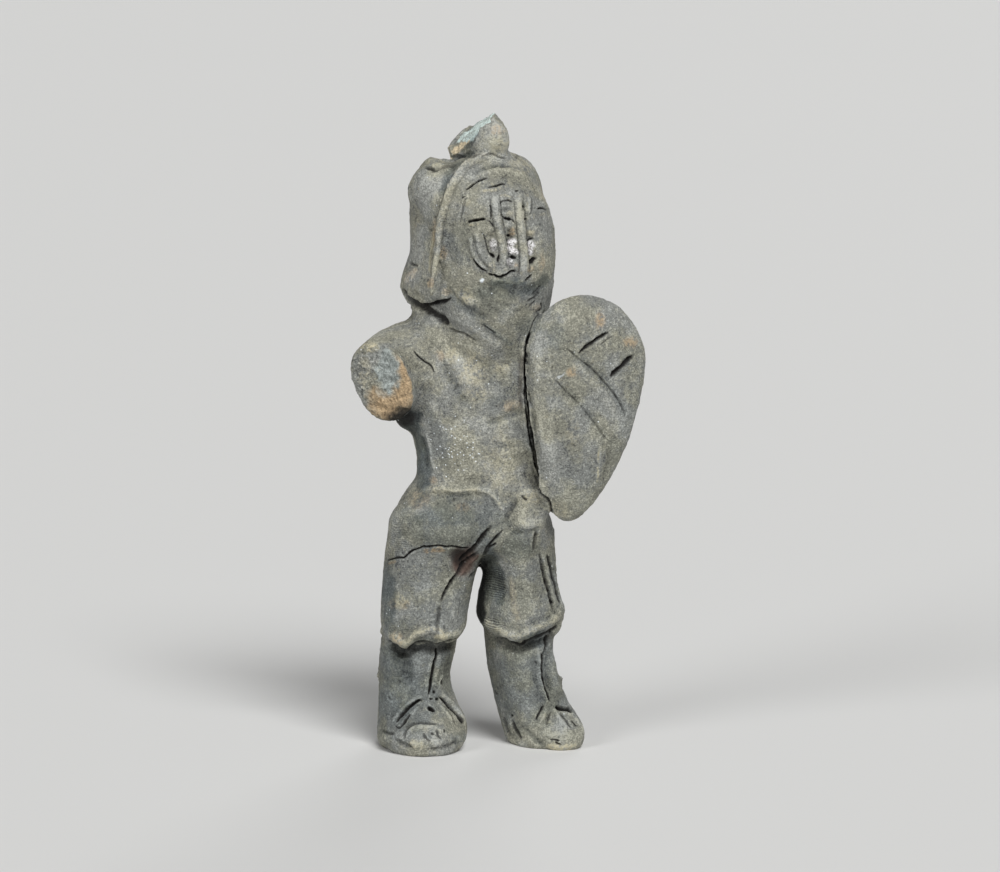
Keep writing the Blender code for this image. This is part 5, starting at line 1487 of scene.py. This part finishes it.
class Finish:
    """A material under construction."""

    def __init__(self, name):
        self.material = bpy.data.materials.new(name)
        self.material.use_nodes = True
        self.tree = self.material.node_tree
        self.shader = self.tree.nodes["Principled BSDF"]
        self.place = self.node("ShaderNodeTexCoord", {}, {}, "Object")

    def node(self, kind, settings, values, output=0):
        """Adds a node, sets it up, sets or joins its sockets, and gives one of its outputs."""
        node = self.tree.nodes.new(kind)
        for name, value in settings.items():
            setattr(node, name, value)
        for name, value in values.items():
            self.join(node.inputs[name], value)
        return Inlet(self, node.outputs[output])

    def join(self, socket, value):
        """Links a socket, or sets its value. A colour is given as three numbers."""
        if isinstance(value, Inlet):
            self.tree.links.new(value.socket, socket)
        elif socket.type == "RGBA":
            socket.default_value = (*value, 1.0)
        else:
            socket.default_value = value

    def shade(self, name, value):
        """Links or sets a socket of the shader."""
        self.join(self.shader.inputs[name], value)

    def maths(self, operation, left, right):
        """What a Math node makes of two values."""
        return self.node("ShaderNodeMath", {"operation": operation}, {0: left, 1: right})

    def tone(self, name):
        """What the skin notes at its points under this name."""
        return self.node("ShaderNodeAttribute", {"attribute_name": name}, {}, "Fac")

    def noise(self, size, detail=3.0, rough=0.55, warp=0.0):
        """Noise from 0 to 1 that changes over the given size in metres."""
        return self.noise_at(self.place, 1.0 / size, detail, rough, warp)

    def noise_at(self, place, scale, detail, rough, warp):
        """Noise from 0 to 1 at the given place."""
        values = {
            "Vector": place, "Scale": scale, "Detail": detail, "Roughness": rough,
            "Distortion": warp,
        }
        return self.node("ShaderNodeTexNoise", {"noise_dimensions": "3D"}, values, "Fac")

    def wiped_noise(self, across, along):
        """Noise drawn out upwards and downwards, as wet fingers leave it."""
        scale = (1.0 / across, 1.0 / across, 1.0 / along)
        stretched = self.node("ShaderNodeMapping", {}, {"Vector": self.place, "Scale": scale})
        return self.noise_at(stretched, 1.0, 2.0, 0.55, 0.3)

    def fingerprint(self):
        """The close, swirling ridges of a fingertip, from 0 to 1."""
        values = {
            "Vector": self.place, "Scale": 680.0, "Distortion": 9.0, "Detail": 1.0,
            "Detail Scale": 0.35,
        }
        return self.node("ShaderNodeTexWave", {"bands_direction": "Z"}, values, "Fac")

    def rise(self, value, low, high):
        """0 below low, 1 above high, and smooth between them."""
        values = {"Value": value, "From Min": low, "From Max": high, "To Min": 0.0, "To Max": 1.0}
        return self.node("ShaderNodeMapRange", {"interpolation_type": "SMOOTHSTEP"}, values)

    def blend(self, share, below, above, way="MIX"):
        """The colour above laid over the colour below."""
        return self.node(
            "ShaderNodeMix", {"data_type": "RGBA", "blend_type": way, "clamp_factor": True},
            {MIX_SHARE: share, MIX_BELOW: below, MIX_ABOVE: above}, MIX_RESULT,
        )

    def grained(self, colour, light):
        """A flat colour with the clay's light and dark grain worked into it."""
        dark = tuple(0.68 * channel for channel in colour)
        pale = tuple(min(1.0, 1.3 * channel) for channel in colour)
        return self.blend(self.rise(light, 0.05, 0.95), dark, pale)


BUMP_HEIGHT = 0.26 * MM
# What the kiln's smoke and the painted shade laid with it leave of the clay's red, green and blue
# where they are thickest.
SMOKE_AND_SHADE_TINT = (0.37, 0.42, 0.46)


def clay_colour(clay, colours):
    """Grey clay of close light and dark grain, with smoky clouds, patches, deposits and dirt, painted
    shade in hollows and pits, and painted highlight.
    """
    finest = clay.noise(0.00030, 1.0, 0.5)
    grain = clay.noise(0.00062, 2.0, 0.6)
    mottle = clay.noise(0.0021, 3.0, 0.6, 0.5)
    clouds = clay.noise(0.0085, 3.0, 0.55, 0.5)
    streaks = clay.wiped_noise(0.0007, 0.0045)
    light = 1.25 * finest + 0.95 * grain + 0.5 * mottle + 0.9 * clouds + 0.3 * streaks - 1.45
    # Painted shade in pits and in places closed in by the clay, and the worn tone's lightening, which
    # is wear and painted highlight.
    light = light + 0.12 * clay.tone("ridge") - 0.16 * clay.tone("pit")
    light = light + 0.24 * clay.tone("worn") - 0.30 * clay.tone("hollow")
    light = light + 0.55 * (clay.fingerprint() - 0.5) * clay.tone("prints")
    grey = clay.blend(clay.rise(light, 0.0, 0.5), colours.dark, colours.middle)
    grey = clay.blend(clay.rise(light, 0.5, 1.0), grey, colours.pale)
    warm = clay.rise(clay.noise(0.006, 2.0, 0.5) + 0.3 * (grain - 0.5), 0.38, 0.62)
    colour = clay.blend(warm, grey, clay.blend(1.0, grey, colours.warmth, "MULTIPLY"))
    patchy = clay.rise(mottle + 0.9 * (grain - 0.5), 0.28, 0.62)
    for share, other_clay in (
        (clay.tone("buff") * patchy * 0.8, colours.buff),
        (clay.tone("orange") * patchy * 0.85, colours.orange),
        (clay.tone("paste"), colours.orange),
        (clay.tone("core"), colours.core),
        (clay.tone("pale_core"), colours.pale_core),
        (clay.tone("peach"), colours.peach),
    ):
        colour = clay.blend(share, colour, clay.grained(other_clay, light))
    colour = clay.blend(clay.tone("rust") * 0.8, colour, colours.rust)
    crust = clay.tone("chalk") * clay.rise(grain + 0.5 * (finest - 0.5), 0.3, 0.5)
    colour = clay.blend(crust, colour, clay.grained(colours.chalk, light))
    colour = clay.blend(clay.tone("sky"), colour, colours.fleck)
    freckles = clay.noise(0.0013, 2.0, 0.6)
    colour = clay.blend(clay.rise(freckles, 0.64, 0.72) * 0.25, colour, colours.buff)
    # Smoke stains and painted shade darken the colour.
    colour = clay.blend(clay.tone("smoke"), colour, SMOKE_AND_SHADE_TINT, "MULTIPLY")
    # Dirt and painted shade from the marks, and painted shade where the clay is closed in, go towards
    # near-black.
    soil_and_hollow_shade = clay.tone("dirt") + clay.rise(clay.tone("hollow"), 0.35, 1.1) * 0.75
    return clay.blend(soil_and_hollow_shade, colour, colours.dirt)


FLECK_SPACING = 0.6 * MM


def mica_flecks(clay):
    """Tiny bright flecks of mica, closer together where the clay is full of them."""
    values = {"Vector": clay.place, "Scale": 1.0 / FLECK_SPACING}
    distance = clay.node("ShaderNodeTexVoronoi", {}, values, "Distance")
    near = 1.0 - clay.rise(distance, 0.14, 0.32)
    draw = clay.node("ShaderNodeSeparateColor", {}, {"Color": distance.beside("Color")}, "Red")
    kept = clay.rise(draw + clay.tone("mica") * 0.45 - 0.035, 0.955, 0.965)
    return near * kept


def clay_material(colours):
    """The fired clay: its colour, flecks, sheen and fine relief."""
    clay = Finish("fired_clay")
    colour = clay_colour(clay, colours)
    flecks = mica_flecks(clay)
    colour = clay.blend(flecks * 0.9, colour, colours.fleck)
    clay.shade("Base Color", colour)
    sheen = clay.noise(0.003, 3.0)
    roughness = 0.60 + 0.3 * sheen - flecks * 0.3 + clay.tone("dirt") * 0.1
    clay.shade("Roughness", roughness)
    clay.shade("Specular IOR Level", 0.35)
    pits = clay.rise(clay.noise(0.00085, 2.0, 0.7), 0.30, 0.44)
    height = clay.noise(0.00036, 2.0, 0.6) + 1.3 * clay.noise(0.0011, 3.0, 0.6) + 0.35 * pits
    height = height + 0.4 * clay.wiped_noise(0.0007, 0.0045)
    height = height + 0.7 * clay.fingerprint() * clay.tone("prints")
    values = {"Strength": 1.0, "Distance": BUMP_HEIGHT, "Height": height}
    clay.shade("Normal", clay.node("ShaderNodeBump", {}, values))
    return clay.material


class CLAY_OT_model_figure(Operator):
    """Grow the figure's skin from its solid and work every mark into it"""

    bl_idname = "clay.model_figure"
    bl_label = "Model Figure"

    def execute(self, context):
        settings = context.scene.clay_modelling
        figure = rough_skin(settings)
        skin = Skin(figure.data)
        skin.relax(settings.smoothing)
        even_out(skin, see(skin))
        skin.save()
        refine(figure)
        skin = Skin(figure.data)
        normals = skin.normals(passes=4)
        views = see(skin)
        work_unevenness(skin, normals, settings)
        roughen_breaks(skin)
        press_marks(skin, normals, views)
        lay_patches(skin, views)
        read_relief(skin)
        keep_to_solid_box(skin)
        skin.save()
        triangles = len(figure.data.polygons)
        if triangles > MOST_TRIANGLES:
            raise RuntimeError(f"the skin has {triangles} triangles, more than it may")
        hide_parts(NODE)
        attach(figure, "root")
        return {"FINISHED"}


class CLAY_OT_fire_figure(Operator):
    """Give the figure its fired-clay finish"""

    bl_idname = "clay.fire_figure"
    bl_label = "Fire Figure"

    def execute(self, context):
        figure = bpy.data.objects[FIGURE]
        figure.data.materials.append(clay_material(context.scene.clay_colours))
        return {"FINISHED"}


# How wide each light is in the sky, and where it stands, in metres.
LIGHT_WIDTH = math.radians(28.0)
LIGHTS = {
    "key": (0.35, -0.80, 0.98),
    "fill": (-0.75, -0.75, 0.55),
    "rear": (0.25, 0.90, 0.42),
}
FLOOR_SIZE = 24.0
SENSOR_WIDTH = 36.0


def add_soft_light(name, place, strength):
    """An even light from a wide part of the air, which faces the figure."""
    bpy.ops.object.light_add(type="SUN", location=place)
    light = bpy.context.object
    light.name = name
    light.data.angle = LIGHT_WIDTH
    light.data.energy = strength
    aim = Vector(CAMERA_AIM) * MM - Vector(place)
    light.rotation_euler = aim.to_track_quat("-Z", "Y").to_euler()


class CLAY_OT_set_stage(Operator):
    """Add the floor, the soft lights and the camera"""

    bl_idname = "clay.set_stage"
    bl_label = "Set Stage"

    def execute(self, context):
        settings = context.scene.clay_stage
        bpy.ops.object.select_all(action="DESELECT")
        bpy.ops.mesh.primitive_plane_add(size=FLOOR_SIZE)
        floor = context.object
        floor.name = "floor"
        paper = Finish("pale_paper")
        tint = paper.noise(0.5, 2.0)
        colour = paper.blend(tint * 0.15, settings.floor, tuple(0.97 * c for c in settings.floor))
        paper.shade("Base Color", colour)
        paper.shade("Roughness", 0.9)
        floor.data.materials.append(paper.material)
        world = bpy.data.worlds.new("air")
        world.use_nodes = True
        background = world.node_tree.nodes["Background"]
        background.inputs["Color"].default_value = (*settings.floor, 1.0)
        background.inputs["Strength"].default_value = settings.air
        context.scene.world = world
        context.scene.view_settings.view_transform = "Standard"
        for name, place in LIGHTS.items():
            add_soft_light(f"{name}_light", place, getattr(settings, name))
        eye = SHEETS["front"].eye * MM
        bpy.ops.object.camera_add(location=eye)
        camera = context.object
        camera.name = "camera"
        towards = Vector(SHEETS["front"].towards)
        camera.rotation_euler = towards.to_track_quat("-Z", "Y").to_euler()
        camera.data.sensor_fit = "HORIZONTAL"
        camera.data.sensor_width = SENSOR_WIDTH
        camera.data.lens = SENSOR_WIDTH * CAMERA_DISTANCE * MM / settings.field
        camera.data.clip_start = 0.05
        camera.data.clip_end = 50.0
        context.scene.camera = camera
        return {"FINISHED"}


class CLAY_PT_panel(Panel):
    """The figure's steps, in the sidebar"""

    bl_idname = "CLAY_PT_panel"
    bl_label = "Clay Gladiator"
    bl_space_type = "VIEW_3D"
    bl_region_type = "UI"
    bl_category = "Clay"

    def draw(self, context):
        for group in ("clay_modelling", "clay_colours", "clay_stage"):
            box = self.layout.box()
            settings = getattr(context.scene, group)
            for name in settings.__annotations__:
                box.prop(settings, name)
        for step in (CLAY_OT_model_figure, CLAY_OT_fire_figure, CLAY_OT_set_stage):
            self.layout.operator(step.bl_idname)


CLASSES = (
    ClaySettings, ColourSettings, StageSettings,
    CLAY_OT_model_figure, CLAY_OT_fire_figure, CLAY_OT_set_stage, CLAY_PT_panel,
)


def register():
    """Makes the settings, steps and panel known."""
    for kind in CLASSES:
        bpy.utils.register_class(kind)
    bpy.types.Scene.clay_modelling = PointerProperty(type=ClaySettings)
    bpy.types.Scene.clay_colours = PointerProperty(type=ColourSettings)
    bpy.types.Scene.clay_stage = PointerProperty(type=StageSettings)


def unregister():
    """Takes them away again."""
    del bpy.types.Scene.clay_modelling
    del bpy.types.Scene.clay_colours
    del bpy.types.Scene.clay_stage
    for kind in reversed(CLASSES):
        bpy.utils.unregister_class(kind)


def main():
    """Models, fires and stages the figure."""
    register()
    bpy.ops.clay.model_figure()
    bpy.ops.clay.fire_figure()
    bpy.ops.clay.set_stage()


if __name__ == "__main__":
    main()
